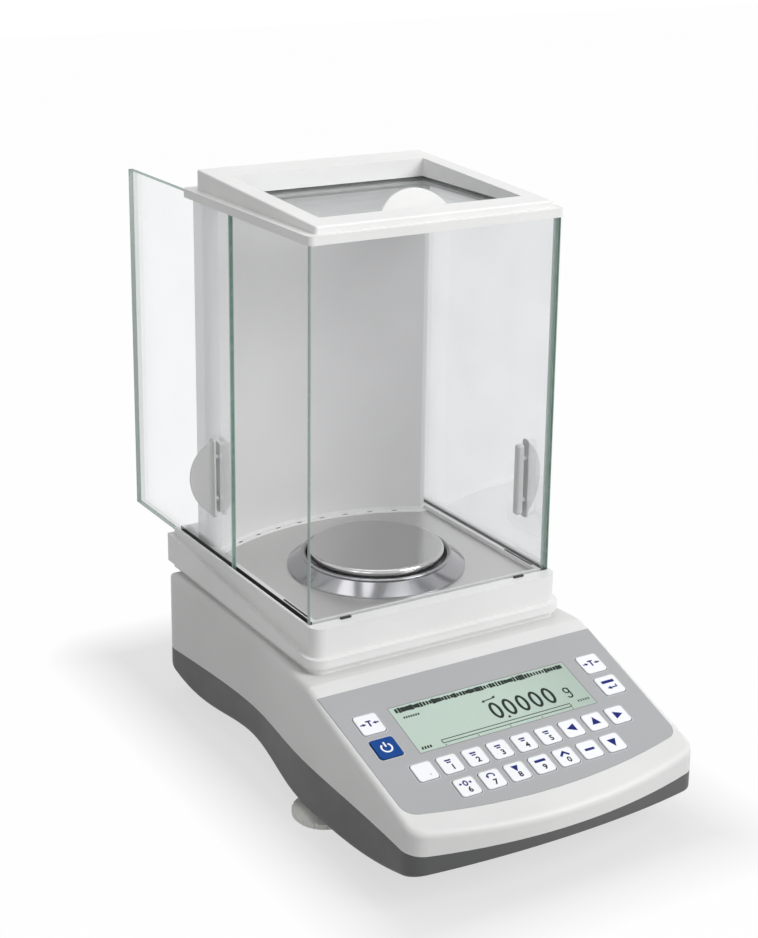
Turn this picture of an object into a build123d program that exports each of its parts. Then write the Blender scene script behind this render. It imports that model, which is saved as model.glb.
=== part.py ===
import math
import os
from build123d import *

# Analytical balance with a glass draft shield, in millimetres, +Z up, front towards -Y.
# Every position is written from the centre of the weighing pan; send() moves it to the part's own origin.

os.makedirs("parts", exist_ok=True)

# Clearances
FREE = 0.2
THREAD_FREE = 0.05
KEY_FREE = 0.25
OVERCUT = 1.0
RUN_OUT = 5.0

# Housing plan: half width at the panel, and how far the outline is tucked in elsewhere
FRONT_REACH = 216.0
REAR_REACH = 118.0
HALF_PANEL = 99.7
REAR_TUCK = 3.2
WAIST_TUCK = 7.0
BELLY_TUCK = 0.9
FRONT_TUCK = 0.5
HALF_REAR = HALF_PANEL - REAR_TUCK
HALF_WAIST = HALF_PANEL - WAIST_TUCK
HALF_BELLY = HALF_PANEL - BELLY_TUCK
HALF_FRONT = HALF_PANEL - FRONT_TUCK
WAIST_REAR_Y = 38.0
WAIST_FRONT_Y = -14.0
BELLY_Y = -72.0
PANEL_MID_Y = -140.0
FRONT_CORNER_Y = -201.6
FRONT_CORNER_R = 13.0
REAR_CORNER_R = 16.0

# Housing heights: flat top, sloping panel, leaning rear wall
WALL = 3.0
FLAT_TOP_Z = 88.0
PANEL_BREAK_Y = -87.0
PANEL_TILT = 17.74
REAR_LEAN_Z = 56.0
REAR_LEAN = 9.5
TOP_EDGE_R = 4.5
KEEL_EDGE_R = 3.0

# Seam between the two shells, height above the bench from the rear to the front
SEAM_REAR_Z = 33.6
SEAM_WAIST_Z = 38.4
SEAM_BELLY_Z = 40.4
SEAM_PANEL_Z = 39.6
SEAM_FRONT_Z = 35.4

# Wavy underside: raised tail, heel, arch, toe, sole and chin
TAIL_Z = 28.0
HEEL_Y = 54.0
HEEL_Z = 13.0
ARCH_Y = -4.0
ARCH_Z = 18.0
TOE_Y = -64.0
TOE_Z = 11.0
MID_SOLE_Y = -105.0
MID_SOLE_Z = 10.6
SOLE_Y = -146.0
SOLE_Z = 12.4
CHIN_Y = -192.0
CHIN_Z = 21.0
TIP_Z = 31.0

# Draft shield
GLASS_T = 3.0
SHIELD_SET_IN = 9.8
CHAMBER_HALF = HALF_WAIST - SHIELD_SET_IN
CHAMBER_FRONT = 64.4
RAIL_WALL = 2.0
BASE_H = 28.6
BASE_DECK = 3.0
BASE_SIDE_WALL = 3.9
BASE_FRONT_LEDGE = 8.9
BASE_REAR_GAP = 2.0
BASE_REAR = REAR_REACH - BASE_REAR_GAP
BASE_REAR_BEVEL = 8.0
BASE_CORNER_R = 8.0
SKIRT_OUT = 3.1
SKIRT_GAP = 4.2
SKIRT_FRONT_H = 5.4
SKIRT_REAR_H = 19.4
GROOVE_DEPTH = 4.6
STRIP_T = 1.0
RAIL_LIP = 3.2
RECESS_DROP = 2.1
PLATE_T = 1.0
PLATE_DROP = 2.8
PLATE_FRONT_GAP = 2.0
WINDOW_H = 227.4
VENT_L = 3.6
VENT_W = 1.4
VENT_PITCH = 17.4
VENT_PAIRS = 4
SLOT_L = 7.2
SLOT_W = 1.5
SLOT_SET_IN = 20.4
SLOT_X = CHAMBER_HALF - SLOT_SET_IN
RAIL_SLOT_L = 30.0
RAIL_SLOT_W = 1.2
RAIL_SLOT_Y = -42.0

# Rear column
COLUMN_WALL = 1.6
COLUMN_SHELF = 22.9
COLUMN_REAR = BASE_REAR - COLUMN_SHELF
COLUMN_THICK = 4.6
COLUMN_HOLLOW_Y = COLUMN_REAR - COLUMN_THICK
COLUMN_TIP_R = 8.0
COLUMN_TIP_DEPTH = 17.6
COLUMN_TIP_Y = COLUMN_REAR - COLUMN_TIP_DEPTH
COLUMN_TIP_TURN = 80.0
COLUMN_CORNER_R = 5.0
PLATE_MARGIN = 4.2

# Top frame
LIP_H = 5.4
LIP_OVERHANG = 1.0
LIP_REAR = COLUMN_REAR + LIP_OVERHANG
LIP_FRONT_WALL = 1.7
LIP_CORNER_R = 4.0
PANE_BITE = 3.4
CROWN_INSET = 6.3
CROWN_FRONT_INSET = 4.2
CROWN_REAR_INSET = 8.4
CROWN_FRONT_H = 4.4
CROWN_REAR_H = 12.5
CROWN_EDGE_R = 1.2
HATCH_SET_IN = 13.3
HATCH_HALF = CHAMBER_HALF - HATCH_SET_IN
HATCH_FRONT = 48.0
HATCH_REAR_GAP = 32.1
HATCH_REAR = LIP_REAR - HATCH_REAR_GAP
LID_BEARING = 6.4
LID_LEDGE = 1.7
LID_OVERLAP = 12.0

# Handles, the same for the two doors and the lid
HANDLE_BACK = 24.5
HANDLE_Z = 169.0
FIN_HALF = 24.4
FIN_H = 14.2
FIN_T = 2.6
FIN_LEAN = 19.0
FLANGE_T = 1.2
FLANGE_W = 7.0
BAR_LENGTH = 47.0
BAR_W = 5.5
BAR_OUT = 4.1
BAR_EDGE_R = 1.5
PIN_R = 1.8
PIN_PITCH = 28.0
LID_HANDLE_Y = -38.0

# Doors
DOOR_REAR_GAP = 10.4
DOOR_LENGTH = COLUMN_REAR - DOOR_REAR_GAP + CHAMBER_FRONT - FREE
DOOR_OPEN = 97.8

# Weighing pan, draft ring and spindle
PAN_R = 43.3
PAN_TOP_Z = 126.9
PAN_SKIN = 1.2
PAN_RIM_H = 4.6
PAN_EDGE_R = 2.0
RING_BOTTOM_R = 57.0
RING_TOP_R = 46.6
RING_H = 8.4
RING_T = 1.2
SPINDLE_R = 7.0
SPINDLE_TIP_R = 3.5
SPINDLE_TIP_H = 5.5
SPINDLE_CONE_H = 3.0
SPINDLE_FOOT_R = 8.5
SPINDLE_FOOT_H = 3.0
SPINDLE_HOLE_R = 11.0
HUB_R = 9.0
HUB_H = 5.3

# Panel, laid out on the slope; distances run down the slope from the overlay's upper edge
OVERLAY_BREAK = 10.5
OVERLAY_MARGIN = 2.5
OVERLAY_TAPER = 3.0
OVERLAY_HALF_TOP = HALF_PANEL - OVERLAY_MARGIN
OVERLAY_HALF_LOW = OVERLAY_HALF_TOP - OVERLAY_TAPER
OVERLAY_SIDE = 97.0
OVERLAY_LENGTH = 108.5
OVERLAY_CORNER_R = 10.0
OVERLAY_T = 0.5
OVERLAY_SUNK = 0.4
DISPLAY_TOP = 21.2
DISPLAY_H = 37.5
LENS_T = 1.6
MODULE_RIM = 3.6
MODULE_T = 5.0

# Keys
ROW_1_NAMES = ("blank", "f1", "f2", "f3", "f4", "f5", "left", "up", "right")
ROW_2_NAMES = ("zero", "print", "select", "menu", "setup", "clear", "down")
KEY_ROW_MARGIN = 29.44
KEY_PITCH = 2 * (OVERLAY_HALF_TOP - KEY_ROW_MARGIN) / (len(ROW_1_NAMES) - 1)
KEY_APART = 3.94
KEY_SIZE = KEY_PITCH - KEY_APART
KEY_ROW_1 = 72.2
KEY_ROW_2 = 90.6
SIDE_KEY_EXTRA = 2.0
SIDE_KEY_SIZE = KEY_SIZE + SIDE_KEY_EXTRA
SIDE_KEY_SET_IN = 18.2
SIDE_KEY_X = OVERLAY_HALF_TOP - SIDE_KEY_SET_IN
DISPLAY_GAP = 9.4
DISPLAY_HALF = SIDE_KEY_X - SIDE_KEY_SIZE / 2 - DISPLAY_GAP
SIDE_KEY_ROW_1 = 28.8
SIDE_KEY_ROW_2 = 48.7
KEY_PROUD = 0.9
KEY_CORNER_R = 2.0
KEY_FLANGE = 0.7
KEY_FLANGE_T = 1.2
KEY_TRAVEL = 0.4
KEY_CHAMFER = 0.3
DOME_R = 3.0
DOME_H = 1.0
BOARD_T = 1.6
BOARD_MARGIN = 2.0
BOARD_POST_R = 2.5

# Feet
FOOT_R = 20.0
FOOT_FRONT_SET_IN = 15.0
FOOT_FRONT_X = HALF_BELLY - FOOT_FRONT_SET_IN
FOOT_FRONT_Y = -82.6
FOOT_REAR_SET_IN = 38.5
FOOT_REAR_X = HALF_REAR - FOOT_REAR_SET_IN
FOOT_REAR_SET_ON = 34.0
FOOT_REAR_Y = REAR_REACH - FOOT_REAR_SET_ON
FOOT_BEVEL = 1.4
FOOT_RIM_H = 4.0
FOOT_DOME_H = 8.0
FOOT_HUB_R = 7.0
FOOT_HUB_H = 9.5
FOOT_GRIPS = 16
GRIP_R = 1.5
STUD_R = 4.0
STUD_TOP = 27.0
INSERT_R = 7.0
INSERT_Z = 20.0
INSERT_H = 9.0
BOSS_R = 10.0

# Inside the housing
CELL_HALF = 30.0
CELL_FRONT = 28.0
CELL_REAR_GAP = 38.0
CELL_REAR = REAR_REACH - CELL_REAR_GAP
CELL_Z = 30.0
CELL_PLATE = 6.0
CHEEK_T = 6.0
CHEEK_L = 20.0
CHEEK_TOP = 70.0
LEVER_Z = 58.0
LEVER_H = 7.0
LEVER_HALF = 6.0
LEVER_NOSE = 9.0
PIVOT_Y = 24.0
MAGNET_R = 17.0
MAGNET_H = 16.0
MAGNET_Y = 58.0
MAGNET_GAP_R = 13.0
MAGNET_CORE_R = 9.6
MAGNET_GAP_DEPTH = 9.0
COIL_T = 2.0
COIL_DIP = 6.0
PILLAR_R = 5.0
MAIN_BOARD_Z = 28.0
MAIN_BOARD_SET_IN = 27.7
MAIN_BOARD_HALF = HALF_PANEL - MAIN_BOARD_SET_IN
MAIN_BOARD_FRONT = 172.0
MAIN_BOARD_REAR = 104.0
CHIP = 12.0
CHIP_H = 2.5
HOOK_R = 9.0
HOOK_FLANGE = 2.0
HOOK_FLANGE_T = 1.5

# Rear sockets and the bubble
SOCKET_Z = 46.5
SERIAL_X = -22.0
SERIAL_PITCH = 40.0
SERIAL_W = 18.6
SERIAL_H = 10.6
SERIAL_WALL = 1.0
SERIAL_BODY_W = 31.0
SERIAL_BODY_H = 13.0
SERIAL_BODY = 8.0
SOCKET_SHY = 0.5
POWER_SET_IN = 34.5
POWER_X = HALF_REAR - POWER_SET_IN
POWER_R = 5.6
POWER_BORE_R = 3.2
POWER_PIN_R = 1.0
POWER_BODY = 13.0
POWER_DEPTH = 9.0
BUBBLE_R = 6.2
BUBBLE_SUNK = 4.0
BUBBLE_PROUD = 1.0
BUBBLE_GLASS_R = 4.8

# Screws
SCREW_R = 1.6
SCREW_HEAD_R = 3.2
SCREW_HEAD_H = 2.4
SCREW_L = 22.0
SCREW_SEAT_Z = 27.0
POST_R = 5.0
POST_SET_IN = 14.5
POST_X = HALF_REAR - POST_SET_IN
POST_REAR_SET_ON = 26.0
POST_REAR_Y = REAR_REACH - POST_REAR_SET_ON
POST_FRONT_SET_IN = 34.0
POST_FRONT_Y = POST_FRONT_SET_IN - FRONT_REACH
SHIELD_SCREW_L = 14.0
SHIELD_SCREW_SET_IN = 16.9
SHIELD_SCREW_X = CHAMBER_HALF - SHIELD_SCREW_SET_IN
SHIELD_SCREW_FRONT = -52.0
SHIELD_SCREW_REAR_GAP = 14.0
SHIELD_SCREW_REAR = BASE_REAR - SHIELD_SCREW_REAR_GAP

# Places worked out from the sizes above
BASE_TOP = FLAT_TOP_Z + BASE_H
LIP_BOTTOM = BASE_TOP + WINDOW_H
LIP_TOP = LIP_BOTTOM + LIP_H
DOOR_OUT = CHAMBER_HALF + GLASS_T
FRAME_HALF = DOOR_OUT + RAIL_WALL
GLASS_FRONT = CHAMBER_FRONT + GLASS_T
BASE_FRONT = GLASS_FRONT + BASE_FRONT_LEDGE
GROOVE_FLOOR = BASE_TOP - GROOVE_DEPTH
PANE_BOTTOM = GROOVE_FLOOR + STRIP_T
PANE_TOP = LIP_BOTTOM + PANE_BITE - FREE
DOOR_FRONT_Y = -CHAMBER_FRONT + FREE
COLUMN_HALF = CHAMBER_HALF - 2 * FREE
PLATE_HALF = CHAMBER_HALF - RAIL_LIP
PLATE_TOP = BASE_TOP - PLATE_DROP
CHANNEL_FLOOR = LIP_BOTTOM + LID_LEDGE
LID_TOP = CHANNEL_FLOOR + GLASS_T
LID_HALF = HATCH_HALF + LID_BEARING
CROWN_HALF = FRAME_HALF - CROWN_INSET
LIP_FRONT = -GLASS_FRONT - LIP_FRONT_WALL
OPEN_REACH = DOOR_FRONT_Y + DOOR_OPEN + DOOR_LENGTH
ORIGIN_Y = (FRONT_REACH - OPEN_REACH) / 2
SLOPE = math.radians(PANEL_TILT)
DOME_DROP = WALL + KEY_FLANGE_T + KEY_TRAVEL
BOARD_DROP = DOME_DROP + DOME_H
DISPLAY_MID = -DISPLAY_TOP - DISPLAY_H / 2
OVERLAY_START = (
    0,
    PANEL_BREAK_Y - OVERLAY_BREAK * math.cos(SLOPE),
    FLAT_TOP_Z - OVERLAY_BREAK * math.sin(SLOPE),
)
PANEL = Plane(
    origin=OVERLAY_START,
    x_dir=(1, 0, 0),
    z_dir=(0, -math.sin(SLOPE), math.cos(SLOPE)),
)
FEET = {
    "front_left": (-FOOT_FRONT_X, FOOT_FRONT_Y),
    "front_right": (FOOT_FRONT_X, FOOT_FRONT_Y),
    "rear_left": (-FOOT_REAR_X, FOOT_REAR_Y),
    "rear_right": (FOOT_REAR_X, FOOT_REAR_Y),
}


def pairs(half, ys):
    """Places on both sides of the middle, one pair for each place along the balance."""
    return [(x, y) for x in (-half, half) for y in ys]


POSTS = pairs(POST_X, (POST_FRONT_Y, POST_REAR_Y))
SHIELD_SCREWS = pairs(SHIELD_SCREW_X, (SHIELD_SCREW_FRONT, SHIELD_SCREW_REAR))


def send(shape, node):
    export_step(Pos(0, ORIGIN_Y, 0) * shape, f"parts/{node}.step")


def block(x, y, z):
    """Box between two corners given as ranges."""
    size = (x[1] - x[0], y[1] - y[0], z[1] - z[0])
    return Pos((x[0] + x[1]) / 2, (y[0] + y[1]) / 2, (z[0] + z[1]) / 2) * Box(*size)


def bar(half, y, z):
    """Box across the whole width."""
    return block((-half, half), y, z)


def rod(radius, x, y, z):
    """Upright cylinder over a range of heights."""
    return Pos(x, y, (z[0] + z[1]) / 2) * Cylinder(radius, z[1] - z[0])


def rods(radius, places, z):
    return [rod(radius, x, y, z) for x, y in places]


def across(face, half):
    """Side view outline carried through the width."""
    return extrude(Plane.YZ.offset(-half) * face, amount=2 * half)


def upright(face, z):
    """Plan outline raised between two heights."""
    return Pos(0, 0, z[0]) * extrude(face, amount=z[1] - z[0])


def on_panel(face, low, high):
    """Outline on the sloping panel, between two distances from its surface."""
    return PANEL * extrude(Pos(0, 0, low) * face, amount=high - low)


def mirrored(shape):
    return mirror(shape, about=Plane.YZ)


# Housing


def plan(inset, z):
    """Waisted outline of the housing with rounded corners, between two heights."""
    rear_y = REAR_REACH - inset
    front_y = FRONT_CORNER_Y + inset
    side = (
        (HALF_REAR - inset, rear_y),
        (HALF_WAIST - inset, WAIST_REAR_Y),
        (HALF_WAIST - inset, WAIST_FRONT_Y),
        (HALF_BELLY - inset, BELLY_Y),
        (HALF_PANEL - inset, PANEL_MID_Y),
        (HALF_FRONT - inset, front_y),
    )
    other = [(-x, y) for x, y in side]
    front = ThreePointArc(side[-1], (0, -FRONT_REACH + inset), other[-1])
    body = upright(make_face(Spline(*side) + front + Spline(*other) + Line(side[0], other[0])), z)
    corners = body.edges().filter_by(Axis.Z).sort_by(Axis.Y)
    body = fillet(corners[:2], FRONT_CORNER_R - inset)
    corners = body.edges().filter_by(Axis.Z).sort_by(Axis.Y)
    return fillet(corners[-2:], REAR_CORNER_R - inset)


def seam():
    return Spline(
        (REAR_REACH + RUN_OUT, SEAM_REAR_Z),
        (WAIST_REAR_Y, SEAM_WAIST_Z),
        (BELLY_Y, SEAM_BELLY_Z),
        (PANEL_MID_Y, SEAM_PANEL_Z),
        (-FRONT_REACH - RUN_OUT, SEAM_FRONT_Z),
    )


def keel(lift):
    """Wavy underside in side view, raised by a wall thickness for the inside."""
    return Spline(
        (REAR_REACH + RUN_OUT, TAIL_Z + lift),
        (HEEL_Y, HEEL_Z + lift),
        (ARCH_Y, ARCH_Z + lift),
        (TOE_Y, TOE_Z + lift),
        (MID_SOLE_Y, MID_SOLE_Z + lift),
        (SOLE_Y, SOLE_Z + lift),
        (CHIN_Y, CHIN_Z + lift),
        (-FRONT_REACH - RUN_OUT, TIP_Z + lift),
    )


def lean_y(z):
    return REAR_REACH - (z - REAR_LEAN_Z) * REAR_LEAN / (FLAT_TOP_Z - REAR_LEAN_Z)


def roof(drop):
    """Side view points of the roof from the rear wall to the front end, lowered by a wall thickness."""
    end_y = -FRONT_REACH - RUN_OUT
    end_z = FLAT_TOP_Z - (PANEL_BREAK_Y - end_y) * math.tan(SLOPE) - drop / math.cos(SLOPE)
    top_z = FLAT_TOP_Z - drop
    foot_z = REAR_LEAN_Z - RUN_OUT
    return (
        (lean_y(foot_z) - drop, foot_z),
        (lean_y(top_z) - drop, top_z),
        (PANEL_BREAK_Y + drop * math.tan(SLOPE / 2), top_z),
        (end_y, end_z),
    )


def upper_block():
    """Solid form of the upper shell with its soft top edges."""
    edge = seam()
    rear, front = edge @ 0, edge @ 1
    outline = edge + Polyline((rear.X, rear.Y), *roof(0), (front.X, front.Y))
    body = plan(0, (0, FLAT_TOP_Z + WALL)) & across(make_face(outline), HALF_PANEL + RUN_OUT)
    top = body.faces().sort_by(Axis.Z)[-1]
    slope = min(body.faces(), key=lambda f: (f.normal_at(f.center()) - PANEL.z_dir).length)

    def on_break(edge):
        middle = edge @ 0.5
        return abs(middle.Y - PANEL_BREAK_Y) <= OVERCUT and abs(middle.X) <= OVERCUT

    rim = [e for e in top.edges() + slope.edges() if not on_break(e)]
    return fillet(rim, TOP_EDGE_R)


def upper_hollow():
    points = roof(WALL)
    outline = Polyline((points[0][0], 0), *points, (points[-1][0], 0), close=True)
    return plan(WALL, (0, FLAT_TOP_Z)) & across(make_face(outline), HALF_PANEL)


def lower_block():
    """Solid form of the lower shell with its soft bottom edge."""
    top, bottom = seam(), keel(0)
    ends = Line(top @ 0, bottom @ 0) + Line(top @ 1, bottom @ 1)
    body = plan(0, (0, FLAT_TOP_Z)) & across(make_face(top + bottom + ends), HALF_PANEL + RUN_OUT)
    underside = body.faces().sort_by(Axis.Z)[0]
    return fillet(underside.edges(), KEEL_EDGE_R)


def lower_hollow():
    bottom = keel(WALL)
    rear, front = bottom @ 0, bottom @ 1
    rest = Polyline((rear.X, rear.Y), (rear.X, FLAT_TOP_Z), (front.X, FLAT_TOP_Z), (front.X, front.Y))
    return plan(WALL, (0, FLAT_TOP_Z)) & across(make_face(bottom + rest), HALF_PANEL)


def bottom_case():
    solid = lower_block()
    feet = list(FEET.values())
    cell_feet = pairs(CELL_HALF - PILLAR_R, (PILLAR_R - CELL_FRONT, CELL_REAR - PILLAR_R))
    board_ys = (PILLAR_R - MAIN_BOARD_FRONT, -MAIN_BOARD_REAR - PILLAR_R)
    board_feet = pairs(MAIN_BOARD_HALF - PILLAR_R, board_ys)
    body = solid - lower_hollow()
    inner = rods(BOSS_R, feet, (0, INSERT_Z + INSERT_H)) + rods(PILLAR_R, cell_feet, (0, CELL_Z))
    inner += rods(PILLAR_R, board_feet, (0, MAIN_BOARD_Z)) + rods(POST_R, POSTS, (0, FLAT_TOP_Z))
    for piece in inner:
        body += piece & solid
    for x, y in feet:
        body -= rod(STUD_R + FREE, x, y, (0, FLAT_TOP_Z))
        body -= rod(INSERT_R, x, y, (INSERT_Z, FLAT_TOP_Z))
    for x, y in POSTS:
        body -= rod(SCREW_R + FREE, x, y, (0, FLAT_TOP_Z))
        body -= rod(SCREW_HEAD_R + FREE, x, y, (0, SCREW_SEAT_Z))
    return body - rod(HOOK_R + FREE, 0, 0, (0, CELL_Z))


def upper_case():
    solid = upper_block()
    body = solid - upper_hollow()
    for piece in rods(POST_R, POSTS, (0, FLAT_TOP_Z)):
        body += piece & solid
    for x, y in board_posts():
        body += on_panel(Pos(x, y) * Circle(BOARD_POST_R), -BOARD_DROP, -WALL / 2)
    for x, y in POSTS:
        body -= rod(SCREW_R + THREAD_FREE, x, y, (0, SCREW_SEAT_Z + SCREW_L + OVERCUT))
    body -= on_panel(overlay_outline(FREE), -OVERLAY_SUNK, OVERCUT)
    body -= on_panel(display_outline(0), -WALL - OVERCUT, OVERCUT)
    for _, x, y, size in keys():
        body -= on_panel(Pos(x, y) * key_outline(size, KEY_FREE), -WALL - OVERCUT, OVERCUT)
    for x, y in SHIELD_SCREWS:
        body -= rod(SCREW_R + FREE, x, y, (FLAT_TOP_Z - WALL - OVERCUT, FLAT_TOP_Z + OVERCUT))
    body -= rod(SPINDLE_HOLE_R, 0, 0, (FLAT_TOP_Z - WALL - OVERCUT, FLAT_TOP_Z + OVERCUT))
    wall = (REAR_REACH - WALL - OVERCUT, REAR_REACH + OVERCUT)
    for x in serial_places():
        body -= socket_block(x, SERIAL_W, SERIAL_H, wall)
    return body - level_rod(POWER_R, POWER_X, wall)


# Panel


def keys():
    """Name, place and size of every key; rows are centred, the side keys stand in pairs."""
    rows = []
    for names, drop in ((ROW_1_NAMES, KEY_ROW_1), (ROW_2_NAMES, KEY_ROW_2)):
        first = -(len(names) - 1) / 2
        rows += [(name, (first + i) * KEY_PITCH, -drop, KEY_SIZE) for i, name in enumerate(names)]
    rows.append(("tare_left", -SIDE_KEY_X, -SIDE_KEY_ROW_1, SIDE_KEY_SIZE))
    rows.append(("power", -SIDE_KEY_X, -SIDE_KEY_ROW_2, SIDE_KEY_SIZE))
    rows.append(("tare_right", SIDE_KEY_X, -SIDE_KEY_ROW_1, SIDE_KEY_SIZE))
    rows.append(("enter", SIDE_KEY_X, -SIDE_KEY_ROW_2, SIDE_KEY_SIZE))
    return rows


def key_outline(size, grow):
    return RectangleRounded(size + 2 * grow, size + 2 * grow, KEY_CORNER_R + grow)


def display_outline(grow):
    return Pos(0, DISPLAY_MID) * Rectangle(2 * (DISPLAY_HALF + grow), DISPLAY_H + 2 * grow)


def overlay_outline(grow):
    """Tapering outline with a bowed lower edge and rounded lower corners."""
    top, low = OVERLAY_HALF_TOP + grow, OVERLAY_HALF_LOW + grow
    sides = Polyline((-low, -OVERLAY_SIDE), (-top, grow), (top, grow), (low, -OVERLAY_SIDE))
    bow = ThreePointArc((low, -OVERLAY_SIDE), (0, -OVERLAY_LENGTH - grow), (-low, -OVERLAY_SIDE))
    face = make_face(sides + bow)
    return fillet(face.vertices().sort_by(Axis.Y)[:2], OVERLAY_CORNER_R)


def overlay():
    body = on_panel(overlay_outline(0), -OVERLAY_SUNK, OVERLAY_T - OVERLAY_SUNK)
    body -= on_panel(display_outline(0), -WALL, OVERCUT)
    for _, x, y, size in keys():
        body -= on_panel(Pos(x, y) * key_outline(size, KEY_FREE), -WALL, OVERCUT)
    return body


def display_lens():
    return on_panel(display_outline(0), -LENS_T, OVERLAY_T - OVERLAY_SUNK)


def display_module():
    glass = on_panel(display_outline(-FREE), -WALL, -LENS_T)
    return glass + on_panel(display_outline(MODULE_RIM), -WALL - MODULE_T, -WALL)


def key(x, y, size):
    body = on_panel(Pos(x, y) * key_outline(size, 0), -WALL, KEY_PROUD)
    top = max(body.faces(), key=lambda f: f.center().dot(PANEL.z_dir))
    body = chamfer(top.edges(), KEY_CHAMFER)
    flange = Pos(x, y) * Rectangle(size + 2 * KEY_FLANGE, size + 2 * KEY_FLANGE)
    return body + on_panel(flange, -WALL - KEY_FLANGE_T, -WALL)


def board_posts():
    """Supports of the keyboard board, between the display and the keys and beside the lower row."""
    low = -KEY_ROW_2 - KEY_SIZE / 2
    side_x = SIDE_KEY_X + SIDE_KEY_SIZE / 2 + KEY_FLANGE + BOARD_POST_R + FREE
    key_gap = (KEY_ROW_1 + KEY_ROW_2) / 2
    outer = (len(ROW_1_NAMES) - 1) / 2 * KEY_PITCH
    return pairs(side_x, [-SIDE_KEY_ROW_2]) + pairs(outer, [low, -key_gap - BOARD_POST_R])


def keyboard_board():
    """U-shaped board under the keys and round the display module."""
    module_low = DISPLAY_TOP + DISPLAY_H + MODULE_RIM + OVERCUT
    module_half = DISPLAY_HALF + MODULE_RIM + OVERCUT
    low = KEY_ROW_2 + KEY_SIZE / 2 + BOARD_POST_R + BOARD_MARGIN
    row_half = (len(ROW_1_NAMES) - 1) / 2 * KEY_PITCH + KEY_SIZE / 2 + BOARD_MARGIN
    wing_half = SIDE_KEY_X + SIDE_KEY_SIZE / 2 + 2 * BOARD_POST_R + BOARD_MARGIN / 2
    wing_top = SIDE_KEY_ROW_1 - SIDE_KEY_SIZE / 2 - BOARD_MARGIN
    face = Pos(0, -(module_low + low) / 2) * Rectangle(2 * row_half, low - module_low)
    wing_h = module_low - wing_top + OVERCUT
    face += Pos(0, -wing_top - wing_h / 2) * Rectangle(2 * wing_half, wing_h)
    face -= Pos(0, -module_low / 2) * Rectangle(2 * module_half, module_low)
    return on_panel(face, -BOARD_DROP - BOARD_T, -BOARD_DROP)


def key_domes():
    return [on_panel(Pos(x, y) * Circle(DOME_R), -BOARD_DROP, -DOME_DROP) for _, x, y, _ in keys()]


# Feet and screws


def foot(x, y):
    """Levelling foot: knurled disc, domed top, hub and threaded stud."""
    outline = Polyline(
        (0, 0),
        (FOOT_R - FOOT_BEVEL, 0),
        (FOOT_R, FOOT_BEVEL),
        (FOOT_R, FOOT_RIM_H),
        (FOOT_HUB_R + FOOT_BEVEL, FOOT_DOME_H),
        (FOOT_HUB_R, FOOT_HUB_H),
        (STUD_R, FOOT_HUB_H),
        (STUD_R, STUD_TOP),
        (0, STUD_TOP),
        close=True,
    )
    body = revolve(Plane.XZ * make_face(outline), Axis.Z)
    reach = FOOT_R + GRIP_R / 2
    for i in range(FOOT_GRIPS):
        turn = 2 * math.pi * i / FOOT_GRIPS
        body -= rod(GRIP_R, reach * math.cos(turn), reach * math.sin(turn), (-OVERCUT, FOOT_DOME_H))
    return Pos(x, y) * body


def foot_inserts():
    z = (INSERT_Z, INSERT_Z + INSERT_H)
    return [rod(INSERT_R, x, y, z) - rod(STUD_R + THREAD_FREE, x, y, z) for x, y in FEET.values()]


def screw(x, y, seat, length):
    """Screw driven upwards, with its head below the seat."""
    head = rod(SCREW_HEAD_R, x, y, (seat - SCREW_HEAD_H, seat))
    slot_z = (seat - SCREW_HEAD_H, seat - SCREW_HEAD_H / 2)
    slot = block((x - SCREW_HEAD_R, x + SCREW_HEAD_R), (y - FREE, y + FREE), slot_z)
    return head + rod(SCREW_R, x, y, (seat, seat + length)) - slot


def hook_cover():
    floor = ARCH_Z + WALL + THREAD_FREE
    plug = rod(HOOK_R, 0, 0, (ARCH_Z + FREE, floor))
    return plug + rod(HOOK_R + HOOK_FLANGE, 0, 0, (floor, floor + HOOK_FLANGE_T))


# Electronics and the weighing cell


def cell_frame():
    top = CELL_Z + CELL_PLATE
    body = bar(CELL_HALF, (-CELL_FRONT, CELL_REAR), (CELL_Z, top))
    body -= rod(SPINDLE_HOLE_R, 0, 0, (CELL_Z - OVERCUT, top + OVERCUT))
    cheek_y = (PIVOT_Y - CHEEK_L / 2, PIVOT_Y + CHEEK_L / 2)
    cheek = block((LEVER_HALF, LEVER_HALF + CHEEK_T), cheek_y, (top, CHEEK_TOP))
    return body + cheek + mirrored(cheek)


def cell_lever():
    beam = bar(LEVER_HALF, (-LEVER_NOSE, MAGNET_Y + LEVER_NOSE), (LEVER_Z, LEVER_Z + LEVER_H))
    middle = (MAGNET_GAP_R + MAGNET_CORE_R) / 2
    z = (CELL_Z + CELL_PLATE + MAGNET_H - COIL_DIP, LEVER_Z)
    coil = rod(middle + COIL_T / 2, 0, MAGNET_Y, z) - rod(middle - COIL_T / 2, 0, MAGNET_Y, z)
    cap = rod(middle + COIL_T / 2, 0, MAGNET_Y, (LEVER_Z, LEVER_Z + COIL_T))
    return beam + coil + cap


def cell_magnet():
    bottom = CELL_Z + CELL_PLATE
    top = bottom + MAGNET_H
    gap = (top - MAGNET_GAP_DEPTH, top + OVERCUT)
    body = rod(MAGNET_R, 0, MAGNET_Y, (bottom, top)) - rod(MAGNET_GAP_R, 0, MAGNET_Y, gap)
    return body + rod(MAGNET_CORE_R, 0, MAGNET_Y, (bottom, top))


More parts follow.
